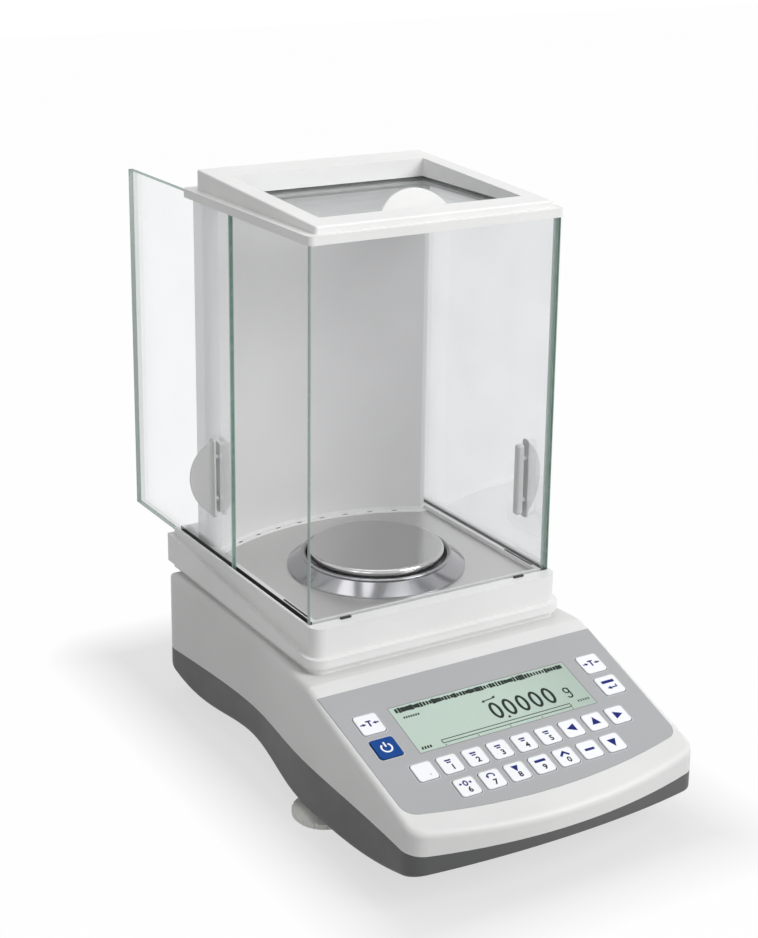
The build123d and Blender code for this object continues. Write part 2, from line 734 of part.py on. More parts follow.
def spindle():
    """Load receiver from the lever up to the pan, with a coned tip."""
    foot_z = LEVER_Z + LEVER_H
    top = PAN_TOP_Z - PAN_SKIN - THREAD_FREE
    tip = top - SPINDLE_TIP_H
    cone = tip - SPINDLE_CONE_H
    outline = Polyline(
        (0, foot_z),
        (SPINDLE_FOOT_R, foot_z),
        (SPINDLE_FOOT_R, foot_z + SPINDLE_FOOT_H),
        (SPINDLE_R, foot_z + SPINDLE_FOOT_H),
        (SPINDLE_R, cone),
        (SPINDLE_TIP_R, tip),
        (SPINDLE_TIP_R, top),
        (0, top),
        close=True,
    )
    return revolve(Plane.XZ * make_face(outline), Axis.Z)


def main_board():
    top = MAIN_BOARD_Z + BOARD_T
    body = bar(MAIN_BOARD_HALF, (-MAIN_BOARD_FRONT, -MAIN_BOARD_REAR), (MAIN_BOARD_Z, top))
    middle = -(MAIN_BOARD_FRONT + MAIN_BOARD_REAR) / 2
    chip_y = (middle - CHIP / 2, middle + CHIP / 2)
    for x in (-3 * CHIP, 0, 3 * CHIP):
        body += block((x - CHIP / 2, x + CHIP / 2), chip_y, (top, top + CHIP_H))
    return body


def serial_places():
    return (SERIAL_X - SERIAL_PITCH / 2, SERIAL_X + SERIAL_PITCH / 2)


def level_rod(radius, x, y):
    """Cylinder lying front to rear at the height of the sockets."""
    return Pos(x, (y[0] + y[1]) / 2, SOCKET_Z) * Rot(90, 0, 0) * Cylinder(radius, y[1] - y[0])


def socket_block(x, wide, high, y):
    """Block at the height of the sockets."""
    return block((x - wide / 2, x + wide / 2), y, (SOCKET_Z - high / 2, SOCKET_Z + high / 2))


def serial_sockets():
    inner = REAR_REACH - WALL
    mouth = REAR_REACH - SOCKET_SHY
    solids = []
    for x in serial_places():
        body = socket_block(x, SERIAL_BODY_W, SERIAL_BODY_H, (inner - SERIAL_BODY, inner))
        body += socket_block(x, SERIAL_W, SERIAL_H, (inner, mouth))
        wide, high = SERIAL_W - 2 * SERIAL_WALL, SERIAL_H - 2 * SERIAL_WALL
        body -= socket_block(x, wide, high, (inner - WALL, mouth + OVERCUT))
        wide, high = wide - 2 * SERIAL_WALL, high - 2 * SERIAL_WALL
        body += socket_block(x, wide, high, (inner - WALL, mouth - SOCKET_SHY))
        solids.append(body)
    return solids


def power_socket():
    inner = REAR_REACH - WALL
    mouth = REAR_REACH - SOCKET_SHY
    body = socket_block(POWER_X, POWER_BODY, POWER_BODY, (inner - POWER_BODY, inner))
    body += level_rod(POWER_R, POWER_X, (inner, mouth))
    body -= level_rod(POWER_BORE_R, POWER_X, (mouth - POWER_DEPTH, mouth + OVERCUT))
    return body + level_rod(POWER_PIN_R, POWER_X, (mouth - POWER_DEPTH, mouth - SOCKET_SHY))


# Draft shield


def hollow_arc(inset):
    """Concave front wall of the column in plan, from the right tip to the left one."""
    turn = math.radians(COLUMN_TIP_TURN)
    x = COLUMN_HALF - COLUMN_TIP_R * (1 - math.cos(turn))
    y = COLUMN_TIP_Y - COLUMN_TIP_R * math.sin(turn)
    return (x, y - inset), (0, COLUMN_HOLLOW_Y - inset), (-x, y - inset)


def chamber_floor(half, margin):
    """Plan of the chamber floor: straight front and sides, concave rear."""
    right, middle, left = hollow_arc(margin)
    front = -CHAMBER_FRONT + PLATE_FRONT_GAP
    rest = Polyline(left, (-half, left[1]), (-half, front), (half, front), (half, right[1]), right)
    return make_face(ThreePointArc(right, middle, left) + rest)


def door_groove(z):
    return block((CHAMBER_HALF - FREE, DOOR_OUT + FREE), (DOOR_FRONT_Y - FREE, BASE_REAR + OVERCUT), z)


def shield_base():
    """Frame that carries the panes: rails, floor recess, flared skirt and hollow underside."""
    core = bar(FRAME_HALF, (-BASE_FRONT, BASE_REAR), (FLAT_TOP_Z, BASE_TOP))
    corners = core.edges().filter_by(Axis.Z).sort_by(Axis.Y)
    core = fillet(corners[:2], BASE_CORNER_R)
    bevel = core.edges().filter_by(Axis.X).group_by(Axis.Y)[-1].sort_by(Axis.Z)[-1]
    core = chamfer(bevel, SLOT_W, BASE_REAR_BEVEL)
    bottom = FLAT_TOP_Z + SKIRT_GAP
    front, rear = -BASE_FRONT - SKIRT_OUT, BASE_REAR + SKIRT_OUT
    skirt = bar(FRAME_HALF + SKIRT_OUT, (front, rear), (bottom, bottom + SKIRT_REAR_H))
    corners = skirt.edges().filter_by(Axis.Z).sort_by(Axis.Y)
    skirt = fillet(corners[:2], BASE_CORNER_R + SKIRT_OUT)
    front_top, rear_top = (front, bottom + SKIRT_FRONT_H), (rear, bottom + SKIRT_REAR_H)
    side = Polyline((front, bottom), front_top, rear_top, (rear, bottom), close=True)
    body = core + (skirt & across(make_face(side), FRAME_HALF + 2 * SKIRT_OUT))
    deck = GROOVE_FLOOR - BASE_DECK
    pocket_y = (-BASE_FRONT + BASE_SIDE_WALL, BASE_REAR - BASE_SIDE_WALL)
    body -= bar(FRAME_HALF - BASE_SIDE_WALL, pocket_y, (FLAT_TOP_Z - OVERCUT, deck))
    body += rod(SPINDLE_HOLE_R + WALL, 0, 0, (FLAT_TOP_Z, deck))
    for x, y in SHIELD_SCREWS:
        body += rod(POST_R, x, y, (FLAT_TOP_Z, deck))
        body -= rod(SCREW_R + THREAD_FREE, x, y, (FLAT_TOP_Z - OVERCUT, FLAT_TOP_Z + SHIELD_SCREW_L))
    body -= rod(SPINDLE_HOLE_R, 0, 0, (FLAT_TOP_Z - OVERCUT, BASE_TOP))
    body -= upright(chamber_floor(PLATE_HALF, 0), (BASE_TOP - RECESS_DROP, BASE_TOP + OVERCUT))
    body -= upright(chamber_floor(PLATE_HALF, PLATE_MARGIN), (PLATE_TOP - PLATE_T, BASE_TOP))
    groove = door_groove((GROOVE_FLOOR, BASE_TOP + OVERCUT))
    body -= groove + mirrored(groove)
    body -= bar(DOOR_OUT, (-GLASS_FRONT, -CHAMBER_FRONT), (PANE_BOTTOM, BASE_TOP + OVERCUT))
    depth = (BASE_TOP - RECESS_DROP - OVERCUT, BASE_TOP + OVERCUT)
    middle = -GLASS_FRONT - SLOT_W
    slot_y = (middle - SLOT_W / 2, middle + SLOT_W / 2)
    slot = block((SLOT_X - SLOT_L / 2, SLOT_X + SLOT_L / 2), slot_y, depth)
    rail_x = CHAMBER_HALF - RAIL_LIP / 2
    slot_y = (RAIL_SLOT_Y - RAIL_SLOT_L / 2, RAIL_SLOT_Y + RAIL_SLOT_L / 2)
    slot += block((rail_x - RAIL_SLOT_W / 2, rail_x + RAIL_SLOT_W / 2), slot_y, depth)
    body -= slot + mirrored(slot)
    for vent in vents():
        body -= vent
    seat = BASE_TOP - BUBBLE_SUNK
    return body - rod(BUBBLE_R, 0, bubble_y(), (seat, BASE_TOP + OVERCUT))


def vents():
    """Small slots in the ledge behind the floor plate, along the column's arc."""
    right, middle, left = hollow_arc(PLATE_MARGIN / 2)
    arc = ThreePointArc(right, middle, left)
    z = (PLATE_TOP - PLATE_T, BASE_TOP)
    cuts = []
    for i in range(2 * VENT_PAIRS):
        share = 0.5 + (i - VENT_PAIRS + 0.5) * VENT_PITCH / arc.length
        spot, way = arc @ share, arc % share
        turn = math.degrees(math.atan2(way.Y, way.X))
        cut = block((-VENT_L / 2, VENT_L / 2), (-VENT_W / 2, VENT_W / 2), z)
        cuts.append(Pos(spot.X, spot.Y) * Rot(0, 0, turn) * cut)
    return cuts


def slide_strips():
    strip = door_groove((GROOVE_FLOOR, PANE_BOTTOM))
    return [strip, mirrored(strip)]


def floor_plate():
    body = upright(chamber_floor(PLATE_HALF - FREE, PLATE_MARGIN), (PLATE_TOP - PLATE_T, PLATE_TOP))
    return body - rod(SPINDLE_HOLE_R, 0, 0, (PLATE_TOP - 2 * PLATE_T, BASE_TOP))


def column_outline(skin):
    """Plan of the column: square back, rounded tips, concave front; the skin insets it for the inside."""
    half, back = COLUMN_HALF - skin, COLUMN_REAR - skin
    radius = COLUMN_TIP_R - skin
    mid_x = COLUMN_HALF - COLUMN_TIP_R
    turn = math.radians(COLUMN_TIP_TURN)

    def tip(angle):
        return mid_x + radius * math.cos(angle), COLUMN_TIP_Y - radius * math.sin(angle)

    points = [tip(angle) for angle in (0, turn / 2, turn)]
    other = [(-x, y) for x, y in points]
    back_line = Polyline(points[0], (half, back), (-half, back), other[0])
    hollow = ThreePointArc(points[-1], (0, COLUMN_HOLLOW_Y + skin), other[-1])
    face = make_face(back_line + ThreePointArc(*points) + hollow + ThreePointArc(*other))
    return fillet(face.vertices().sort_by(Axis.Y)[-2:], COLUMN_CORNER_R - skin)


def rear_column():
    z = (BASE_TOP, LIP_BOTTOM)
    return upright(column_outline(0), z) - upright(column_outline(COLUMN_WALL), z)


def bubble_y():
    return (COLUMN_REAR + BASE_REAR - BASE_REAR_BEVEL) / 2


def level_bubble():
    """Round level in the shelf behind the column."""
    top = BASE_TOP + BUBBLE_PROUD
    body = rod(BUBBLE_R, 0, bubble_y(), (BASE_TOP - BUBBLE_SUNK, top))
    return body - rod(BUBBLE_GLASS_R, 0, bubble_y(), (top - BUBBLE_PROUD / 2, top + OVERCUT))


def top_frame():
    """Lip over the panes, sloping crown round the hatch, and the channel that the lid slides in."""
    lip = bar(FRAME_HALF, (LIP_FRONT, LIP_REAR), (LIP_BOTTOM, LIP_TOP))
    lip = fillet(lip.edges().filter_by(Axis.Z), LIP_CORNER_R)
    front, rear = LIP_FRONT + CROWN_FRONT_INSET, LIP_REAR - CROWN_REAR_INSET
    front_top, rear_top = (front, LIP_TOP + CROWN_FRONT_H), (rear, LIP_TOP + CROWN_REAR_H)
    side = Polyline((front, LIP_TOP), front_top, rear_top, (rear, LIP_TOP), close=True)
    crown = across(make_face(side), CROWN_HALF)
    crown = fillet(crown.edges().filter_by(Axis.Z), LIP_CORNER_R / 2)
    crown = fillet(crown.faces().sort_by(Axis.Z)[-1].edges(), CROWN_EDGE_R)
    body = lip + crown
    body -= bar(HATCH_HALF, (-HATCH_FRONT, HATCH_REAR), (LIP_BOTTOM - OVERCUT, LIP_TOP + 2 * CROWN_REAR_H))
    lid_front = -HATCH_FRONT - LID_OVERLAP - FREE
    body -= bar(LID_HALF + FREE, (lid_front, LIP_REAR + OVERCUT), (CHANNEL_FLOOR, LID_TOP + FREE))
    groove = door_groove((LIP_BOTTOM - OVERCUT, LIP_BOTTOM + PANE_BITE))
    body -= groove + mirrored(groove)
    return body - bar(DOOR_OUT, (-GLASS_FRONT, -CHAMBER_FRONT), (LIP_BOTTOM - OVERCUT, PANE_TOP))


def handle():
    """Half-moon fin on a flange outside the pane, with two pins through it to a bar inside.

    Local X runs along the handle, Y is the way it slides open and Z points away from the pane.
    """
    arc = ThreePointArc((-FIN_HALF, 0), (0, FIN_H), (FIN_HALF, 0))
    root = Polyline((-FIN_HALF, 0), (-FIN_HALF, -FLANGE_T / 2), (FIN_HALF, -FLANGE_T / 2), (FIN_HALF, 0))
    fin = extrude(Plane.XZ * make_face(arc + root), amount=FIN_T / 2, both=True)
    fin = fillet(fin.edges().filter_by(GeomType.CIRCLE), FIN_T / 3)
    body = Pos(0, 0, FLANGE_T) * Rot(-FIN_LEAN, 0, 0) * fin
    flange = extrude(RectangleRounded(2 * FIN_HALF + FLANGE_W / 2, FLANGE_W, FLANGE_W / 3), amount=FLANGE_T)
    grip = extrude(RectangleRounded(BAR_LENGTH, BAR_W, BAR_W / 3), amount=-BAR_OUT)
    grip = fillet(grip.faces().sort_by(Axis.Z)[0].edges(), BAR_EDGE_R)
    body += flange + Pos(0, 0, -GLASS_T) * grip
    for x in (-PIN_PITCH / 2, PIN_PITCH / 2):
        body += rod(PIN_R, x, 0, (-GLASS_T, 0))
    return body


def door_plane(shift):
    """Seat of the left door's handle on its outer face."""
    seat = (-DOOR_OUT, DOOR_FRONT_Y + HANDLE_BACK + shift, HANDLE_Z)
    return Plane(origin=seat, x_dir=(0, 0, 1), z_dir=(-1, 0, 0))


def door(shift):
    """Left pane, moved back by the shift, with the two holes for the handle's pins."""
    front = DOOR_FRONT_Y + shift
    pane = block((-DOOR_OUT, -CHAMBER_HALF), (front, front + DOOR_LENGTH), (PANE_BOTTOM, PANE_TOP))
    seat = door_plane(shift)
    for x in (-PIN_PITCH / 2, PIN_PITCH / 2):
        pane -= seat * rod(PIN_R, x, 0, (-GLASS_T - OVERCUT, OVERCUT))
    return pane


def lid():
    pane = bar(LID_HALF, (-HATCH_FRONT - LID_OVERLAP, HATCH_REAR + LID_OVERLAP), (CHANNEL_FLOOR, LID_TOP))
    for x in (-PIN_PITCH / 2, PIN_PITCH / 2):
        pane -= rod(PIN_R, x, LID_HANDLE_Y, (CHANNEL_FLOOR - OVERCUT, LID_TOP + OVERCUT))
    return pane


def front_glass():
    return bar(DOOR_OUT, (-GLASS_FRONT, -CHAMBER_FRONT), (PANE_BOTTOM, PANE_TOP))


# Weighing pan and draft ring


def weighing_pan():
    """Dished disc with a turned-down rim and a hub that fits over the spindle's tip."""
    under = PAN_TOP_Z - PAN_SKIN
    body = rod(PAN_R, 0, 0, (PAN_TOP_Z - PAN_RIM_H, PAN_TOP_Z))
    body = fillet(body.edges().sort_by(Axis.Z)[-1], PAN_EDGE_R)
    body -= rod(PAN_R - PAN_SKIN, 0, 0, (PAN_TOP_Z - PAN_RIM_H - OVERCUT, under))
    body += rod(HUB_R, 0, 0, (under - HUB_H, under))
    return body - rod(SPINDLE_TIP_R + THREAD_FREE, 0, 0, (under - HUB_H - OVERCUT, under - THREAD_FREE))


def draft_ring():
    top = PLATE_TOP + RING_H
    outline = Polyline(
        (RING_BOTTOM_R, PLATE_TOP),
        (RING_BOTTOM_R - RING_T, PLATE_TOP),
        (RING_TOP_R - RING_T, top - RING_T),
        (RING_TOP_R - RING_T, top),
        (RING_TOP_R, top),
        (RING_BOTTOM_R, PLATE_TOP + RING_T),
        close=True,
    )
    return revolve(Plane.XZ * make_face(outline), Axis.Z)


send(bottom_case(), "bottom_case")
send(upper_case(), "upper_case")
send(overlay(), "keypad_overlay")
send(display_lens(), "display_lens")
send(display_module(), "display_module")
for name, key_x, key_y, key_size in keys():
    send(key(key_x, key_y, key_size), f"key_{name}")
send(keyboard_board(), "keyboard_board")
send(Compound(key_domes()), "key_domes")
send(main_board(), "main_board")
send(cell_frame(), "cell_frame")
send(cell_lever(), "cell_lever")
send(cell_magnet(), "cell_magnet")
send(spindle(), "pan_spindle")
for name, place in FEET.items():
    send(foot(*place), f"foot_{name}")
send(Compound(foot_inserts()), "foot_inserts")
send(Compound([screw(x, y, SCREW_SEAT_Z, SCREW_L) for x, y in POSTS]), "case_screws")
send(Compound([screw(x, y, FLAT_TOP_Z - WALL, SHIELD_SCREW_L) for x, y in SHIELD_SCREWS]), "shield_screws")
send(hook_cover(), "hook_cover")
send(Compound(serial_sockets()), "serial_sockets")
send(power_socket(), "power_socket")
send(shield_base(), "shield_base")
send(Compound(slide_strips()), "slide_strips")
send(floor_plate(), "floor_plate")
send(rear_column(), "rear_column")
send(level_bubble(), "level_bubble")
send(top_frame(), "top_frame")
send(front_glass(), "front_glass")
send(door(DOOR_OPEN), "left_door")
send(door_plane(DOOR_OPEN) * handle(), "left_door_handle")
send(mirrored(door(0)), "right_door")
send(mirrored(door_plane(0) * handle()), "right_door_handle")
send(lid(), "lid")
send(Pos(0, LID_HANDLE_Y, LID_TOP) * handle(), "lid_handle")
send(weighing_pan(), "weighing_pan")
send(draft_ring(), "draft_ring")
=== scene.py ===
import math

import bpy
from bpy.props import FloatProperty, FloatVectorProperty, IntProperty, PointerProperty
from mathutils import Matrix, Vector


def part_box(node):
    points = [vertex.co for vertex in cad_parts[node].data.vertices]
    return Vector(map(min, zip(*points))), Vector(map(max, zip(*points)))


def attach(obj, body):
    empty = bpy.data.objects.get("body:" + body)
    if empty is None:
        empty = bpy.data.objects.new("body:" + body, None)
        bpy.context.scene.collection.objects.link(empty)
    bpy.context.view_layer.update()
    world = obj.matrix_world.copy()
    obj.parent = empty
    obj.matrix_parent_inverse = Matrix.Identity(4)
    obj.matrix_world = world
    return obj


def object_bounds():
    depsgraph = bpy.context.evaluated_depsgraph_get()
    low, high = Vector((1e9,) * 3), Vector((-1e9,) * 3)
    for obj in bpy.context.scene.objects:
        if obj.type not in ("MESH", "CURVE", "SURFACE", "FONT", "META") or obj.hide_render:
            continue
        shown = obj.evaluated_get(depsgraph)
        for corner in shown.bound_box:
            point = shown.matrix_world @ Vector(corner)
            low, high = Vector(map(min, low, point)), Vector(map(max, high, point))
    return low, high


bl_info = {
    "name": "Analytical balance",
    "version": (1, 0, 0),
    "blender": (4, 5, 0),
    "location": "View3D > Sidebar > Balance",
    "description": "Materials, printed marks and stage of an analytical balance",
    "category": "Object",
}

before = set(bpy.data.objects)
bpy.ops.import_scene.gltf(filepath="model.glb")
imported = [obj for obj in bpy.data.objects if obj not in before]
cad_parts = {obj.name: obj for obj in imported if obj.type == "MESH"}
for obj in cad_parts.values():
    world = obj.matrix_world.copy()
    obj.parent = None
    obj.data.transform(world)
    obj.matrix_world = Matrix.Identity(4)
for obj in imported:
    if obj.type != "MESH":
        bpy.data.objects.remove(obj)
SIZE_AT_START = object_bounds()

MM = 0.001

# Width of the camera's sensor in millimetres.
SENSOR_WIDTH = 36.0

# Least and greatest width, height and thickness of the display's small signs, as shares of a whole one.
ICON_LEAST = (0.5, 0.55, 1.0)
ICON_MOST = (1.0, 1.0, 1.0)

# Cut edge of a pane: how far it reaches in from the pane's end, half of its green core's thickness, and
# the distance from the pane's middle plane at which it has turned into a pale painted highlight.
EDGE_REACH = 0.4 * MM
CORE_HALF = 0.8 * MM
PAINTED_HIGHLIGHT_FROM = 1.3 * MM

# The built-in typeface is drawn larger than its digits are high, and its strokes are thickened.
FACE_PER_HEIGHT = 1.35
STROKE_PER_HEIGHT = 0.045

# Panel frame: its origin is the middle of the film's upper edge, v runs down the slope, n away from it.
PANEL_ORIGIN = Vector((0.0, -0.0792507, 0.0848007))
PANEL_TILT = math.radians(17.74)
ACROSS = Vector((1.0, 0.0, 0.0))
DOWN = Vector((0.0, -math.cos(PANEL_TILT), -math.sin(PANEL_TILT)))
NORMAL = Vector((0.0, -math.sin(PANEL_TILT), math.cos(PANEL_TILT)))

ROW_1 = ("blank", "f1", "f2", "f3", "f4", "f5", "left", "up", "right")
ROW_2 = ("zero", "print", "select", "menu", "setup", "clear", "down")
SIDE_KEYS = (("tare_left", -1, 0), ("power", -1, 1), ("tare_right", 1, 0), ("enter", 1, 1))
DIGITS = {
    "f1": "1", "f2": "2", "f3": "3", "f4": "4", "f5": "5",
    "zero": "6", "print": "7", "select": "8", "menu": "9", "setup": "0",
}


def colour(name, description, value):
    return FloatVectorProperty(
        name=name, description=description, default=value, size=3, subtype="COLOR", min=0.0, max=1.0
    )


def length(name, description, millimetres):
    return FloatProperty(
        name=name, description=description, default=millimetres * MM, unit="LENGTH", precision=5
    )


def number(name, description, value):
    return FloatProperty(name=name, description=description, default=value)


def place(name, description, value):
    return FloatVectorProperty(name=name, description=description, default=value, size=3, unit="LENGTH")


def angle(name, description, value):
    return FloatProperty(name=name, description=description, default=value, subtype="ANGLE")


class BalanceColours(bpy.types.PropertyGroup):
    """Base colours of the surfaces."""

    shell: colour("Shell", "Light housing shell", (0.71, 0.71, 0.705))
    underside: colour("Underside", "Dark lower shell", (0.085, 0.086, 0.088))
    shield: colour("Shield", "Frames of the draft shield", (0.80, 0.80, 0.795))
    column: colour("Column", "Painted rear column", (0.71, 0.71, 0.71))
    film: colour("Film", "Printed film of the panel", (0.405, 0.41, 0.42))
    key: colour("Key", "White key caps", (0.86, 0.87, 0.89))
    key_blue: colour("Blue key", "Power key cap", (0.004, 0.055, 0.255))
    ink: colour("Ink", "Dark blue print on the keys", (0.012, 0.02, 0.17))
    crystal: colour("Crystal", "Lit face of the display", (0.46, 0.575, 0.50))
    segment: colour("Segment", "Dark segments of the display", (0.02, 0.03, 0.025))
    steel: colour("Steel", "Pan and floor plate", (0.56, 0.555, 0.55))
    tint: colour("Pane tint", "Light that passes one face of a pane", (0.994, 0.994, 0.998))
    edge: colour("Pane edge", "Green cut edge of a pane", (0.12, 0.245, 0.185))
    # Painted highlight: pale colour of the panes' cut edges at the borders of their green core and over the
    # rims that are not green.
    rim_with_painted_highlight: colour("Pane rim", "Pale cut edge of a pane", (0.46, 0.54, 0.50))
    black: colour("Black", "Black strips, clips and sockets", (0.02, 0.02, 0.02))
    foot: colour("Foot", "Levelling feet", (0.86, 0.86, 0.82))
    screw: colour("Screw", "Steel screws", (0.55, 0.55, 0.56))
    brass: colour("Brass", "Threaded inserts of the feet", (0.62, 0.42, 0.14))
    halo: colour("Halo", "Pale line printed round the keys", (0.70, 0.72, 0.76))
    glint: colour("Glint", "Pale grains in the display's face", (0.9, 0.95, 0.9))
    module: colour("Module", "Body of the display module", (0.3, 0.3, 0.3))
    digit: colour("Digit", "Digits printed on the keys", (0.02, 0.022, 0.05))
    power: colour("Power mark", "Mark printed on the power key", (0.86, 0.88, 0.92))
    ring: colour("Ring", "Turned draft ring", (0.34, 0.34, 0.35))
    spindle: colour("Spindle", "Turned spindle under the pan", (0.6, 0.6, 0.6))
    plated: colour("Plated", "Plated sockets and snap domes", (0.6, 0.6, 0.62))
    level: colour("Level", "Round level", (0.5, 0.62, 0.16))
    board: colour("Board", "Circuit boards", (0.03, 0.16, 0.06))
    cell: colour("Cell", "Cast frame and lever of the weighing cell", (0.6, 0.6, 0.61))
    magnet: colour("Magnet", "Magnet of the weighing cell", (0.32, 0.32, 0.34))


class BalancePanel(bpy.types.PropertyGroup):
    """Places of the keys, and of the lines and marks printed round and on them."""

    pitch: length("Key pitch", "Distance between keys in a row", 16.94)
    row_1: length("Upper row", "Distance of the upper row down the panel", 72.2)
    row_2: length("Lower row", "Distance of the lower row down the panel", 90.6)
    side_x: length("Side keys", "Distance of the side keys from the middle", 79.0)
    side_1: length("Upper side keys", "Distance of the upper side keys down the panel", 28.8)
    side_2: length("Lower side keys", "Distance of the lower side keys down the panel", 48.7)
    key_size: length("Key size", "Width of a key in the rows", 13.0)
    side_size: length("Side key size", "Width of a side key", 15.0)
    gap: length("Key gap", "Clearance round a key", 0.25)
    key_top: length("Key top", "Height of the key caps above the panel", 0.9)
    film_top: length("Film top", "Height of the film above the panel", 0.1)
    print_t: length("Print", "Thickness of the printed marks", 0.04)
    line_w: length("Key line", "Width of the dark line round a key", 0.35)
    halo_w: length("Key halo", "Width of the pale line outside the dark one", 0.3)
    corner: length("Corner", "Radius of the lines' corners", 2.2)
    corner_steps: IntProperty(name="Corner steps", description="Segments in each of those corners", default=6)
    line_t: length("Line thickness", "Thickness of the lines round the keys", 0.05)
    window_v: length("Window", "Distance of the display window's middle down the panel", 39.95)
    window_h: length("Window height", "Height inside the line round the display window", 37.6)
    window_line: length("Window line", "Width of the line round the display window", 0.45)
    window_gap: length("Window gap", "Gap at each side between the window and that line", 0.05)
    sign_v: length("Sign", "Height of a sign above the middle of a key with a digit", 2.3)
    digit_u: length("Digit across", "Distance of a digit right of its key's middle", 0.6)
    digit_v: length("Digit down", "Distance of a digit below its key's middle", 2.9)
    digit_h: length("Digit height", "Height of a digit", 4.0)


class BalanceDisplay(bpy.types.PropertyGroup):
    """Places and sizes of the dark segments of the display."""

    noughts: IntProperty(name="Noughts", description="Number of noughts", default=5)
    nought_u: length("First nought", "Place of the first nought across the panel", -0.9)
    nought_v: length("Nought line", "Distance of the noughts down the panel", 43.6)
    nought_step: length("Nought step", "Distance between two noughts", 9.45)
    nought_w: length("Nought width", "Width of a nought at the middle of its stroke", 5.4)
    nought_h: length("Nought height", "Height of a nought at the middle of its stroke", 11.6)
    stroke: length("Stroke", "Width of a nought's stroke", 1.95)
    nought_steps: IntProperty(name="Nought steps", description="Segments round a nought", default=36)
    point_u: length("Point", "Place of the point across the panel", 4.0)
    point_v: length("Point line", "Distance of the point down the panel", 50.8)
    point: length("Point size", "Side of the point", 1.6)
    icons: IntProperty(name="Icons", description="Number of small signs along the top", default=56)
    band_w: length("Band", "Width of the band of small signs", 119.0)
    band_v: length("Band line", "Distance of the band down the panel", 24.3)
    icon_w: length("Icon width", "Greatest width of a small sign", 2.4)
    icon_h: length("Icon height", "Greatest height of a small sign", 4.2)
    seed: IntProperty(name="Seed", description="Seed of the small signs' sizes", default=7)


class BalanceRing(bpy.types.PropertyGroup):
    """Rolled bead on the upper edge of the draft ring."""

    inset: length("Inset", "Distance of the bead's middle from the ring's outer edge", 9.9)
    half_w: length("Half width", "Half width of the bead", 1.3)
    half_h: length("Half height", "Half height of the bead", 0.8)
    sides: IntProperty(name="Sides", description="Sides of the bead's oval profile", default=16)
    steps: IntProperty(name="Steps", description="Steps of the bead round the ring", default=96)


class BalanceShield(bpy.types.PropertyGroup):
    """Places of the black clips, of the thin black sheets that paint shade in the side grooves and of the
    dark blocks that paint shade in the vents, in the frame that carries the panes.
    """

    clip_x: length("Clip", "Distance of the front clips from the middle", 62.5)
    clip_y: length("Clip line", "Place of the front clips along the balance", -51.15)
    clip_w: length("Clip width", "Width of a front clip", 7.1)
    clip_t: length("Clip depth", "Front to back size of a front clip", 1.4)
    clip_h: length("Clip height", "Height of a clip", 3.4)
    clip_proud: length("Clip proud", "Height of the front clips above the rail", 1.3)
    rail_proud: length("Rail clip proud", "Height of the rail clips above the rail", 0.4)
    rail_x: length("Rail clip", "Distance of the rail clips from the middle", 81.3)
    rail_y: length("Rail clip line", "Place of the rail clips along the balance", -24.25)
    rail_w: length("Rail clip width", "Width of a rail clip", 1.1)
    rail_l: length("Rail clip length", "Length of a rail clip", 29.9)
    # Painted shade: thin black sheets stand in the side grooves, where the gap under the doors lies in shade.
    groove_shade_x: length("Liner", "Distance of the groove liners from the middle", 82.76)
    groove_shade_y: length("Liner line", "Place of the liners' middle along the balance", 43.5)
    groove_shade_t: length("Liner thickness", "Thickness of a liner", 0.1)
    groove_shade_l: length("Liner length", "Length of a liner", 180.0)
    groove_shade_h: length("Liner height", "Height of a liner", 3.4)
    vents: IntProperty(name="Vents", description="Slots in the ledge behind the floor plate", default=8)
    vent_arc: length("Vent arc", "Radius of the arc that the slots lie on", 148.3)
    vent_y: length("Vent line", "Place of the arc's middle along the balance", 104.15)
    vent_pitch: length("Vent pitch", "Distance between two slots along the arc", 17.4)
    # Size of a dark block that paints the shade at the bottom of a slot.
    vent_l: length("Vent length", "Length of a slot's dark bottom", 3.5)
    vent_w: length("Vent width", "Width of a slot's dark bottom", 1.3)
    vent_h: length("Vent height", "Height of a slot's dark bottom", 1.5)
    ledge: length("Ledge", "Depth of the ledge below the rail's top", 2.15)
    sunk: length("Sunk", "Depth of the trim below the rail's top", 0.05)


class BalanceStage(bpy.types.PropertyGroup):
    """Camera, lamps and floor."""

    eye: place("Camera", "Place of the camera", (-0.56483, -0.91134, 0.56403))
    heading: angle("Heading", "Camera's turn from +Y to +X", 0.555114)
    dip: angle("Dip", "Camera's tilt below the horizon", 0.279904)
    roll: angle("Roll", "Camera's roll", 0.0148019)
    lens: FloatProperty(name="Lens", description="Focal length", default=70.09, unit="CAMERA")
    shift_x: number("Shift X", "Sideways framing", -0.0163)
    shift_y: number("Shift Y", "Upward framing", -0.1194)
    key_power: number("Key lamp", "Power of the key lamp in watts", 31.0)
    key_disc: number("Key disc", "Diameter of the key lamp in metres", 1.3)
    key_place: place("Key place", "Place of the key lamp", (0.95, -1.5, 1.35))
    fill_power: number("Fill lamp", "Power of the fill lamp in watts", 5.5)
    fill_disc: number("Fill disc", "Diameter of the fill lamp in metres", 1.2)
    fill_place: place("Fill place", "Place of the fill lamp", (-1.7, -1.3, 0.45))
    top_power: number("Top lamp", "Power of the top lamp in watts", 10.0)
    top_disc: number("Top disc", "Diameter of the top lamp in metres", 1.6)
    top_place: place("Top place", "Place of the top lamp", (0.1, 0.2, 1.9))
    ambient: number("Ambient", "Strength of the surrounding light", 0.32)
    floor: colour("Floor", "Pale floor", (0.50, 0.50, 0.50))
    floor_half: number("Floor size", "Half of the floor's side in metres", 4.0)
    floor_white: number("Floor white", "Share of white in the floor beside the balance", 0.66)
    floor_far: number("Far white", "Share of white in the floor away from the balance", 0.985)
    floor_fade: length("Fade", "Distance over which the floor turns white", 50.0)


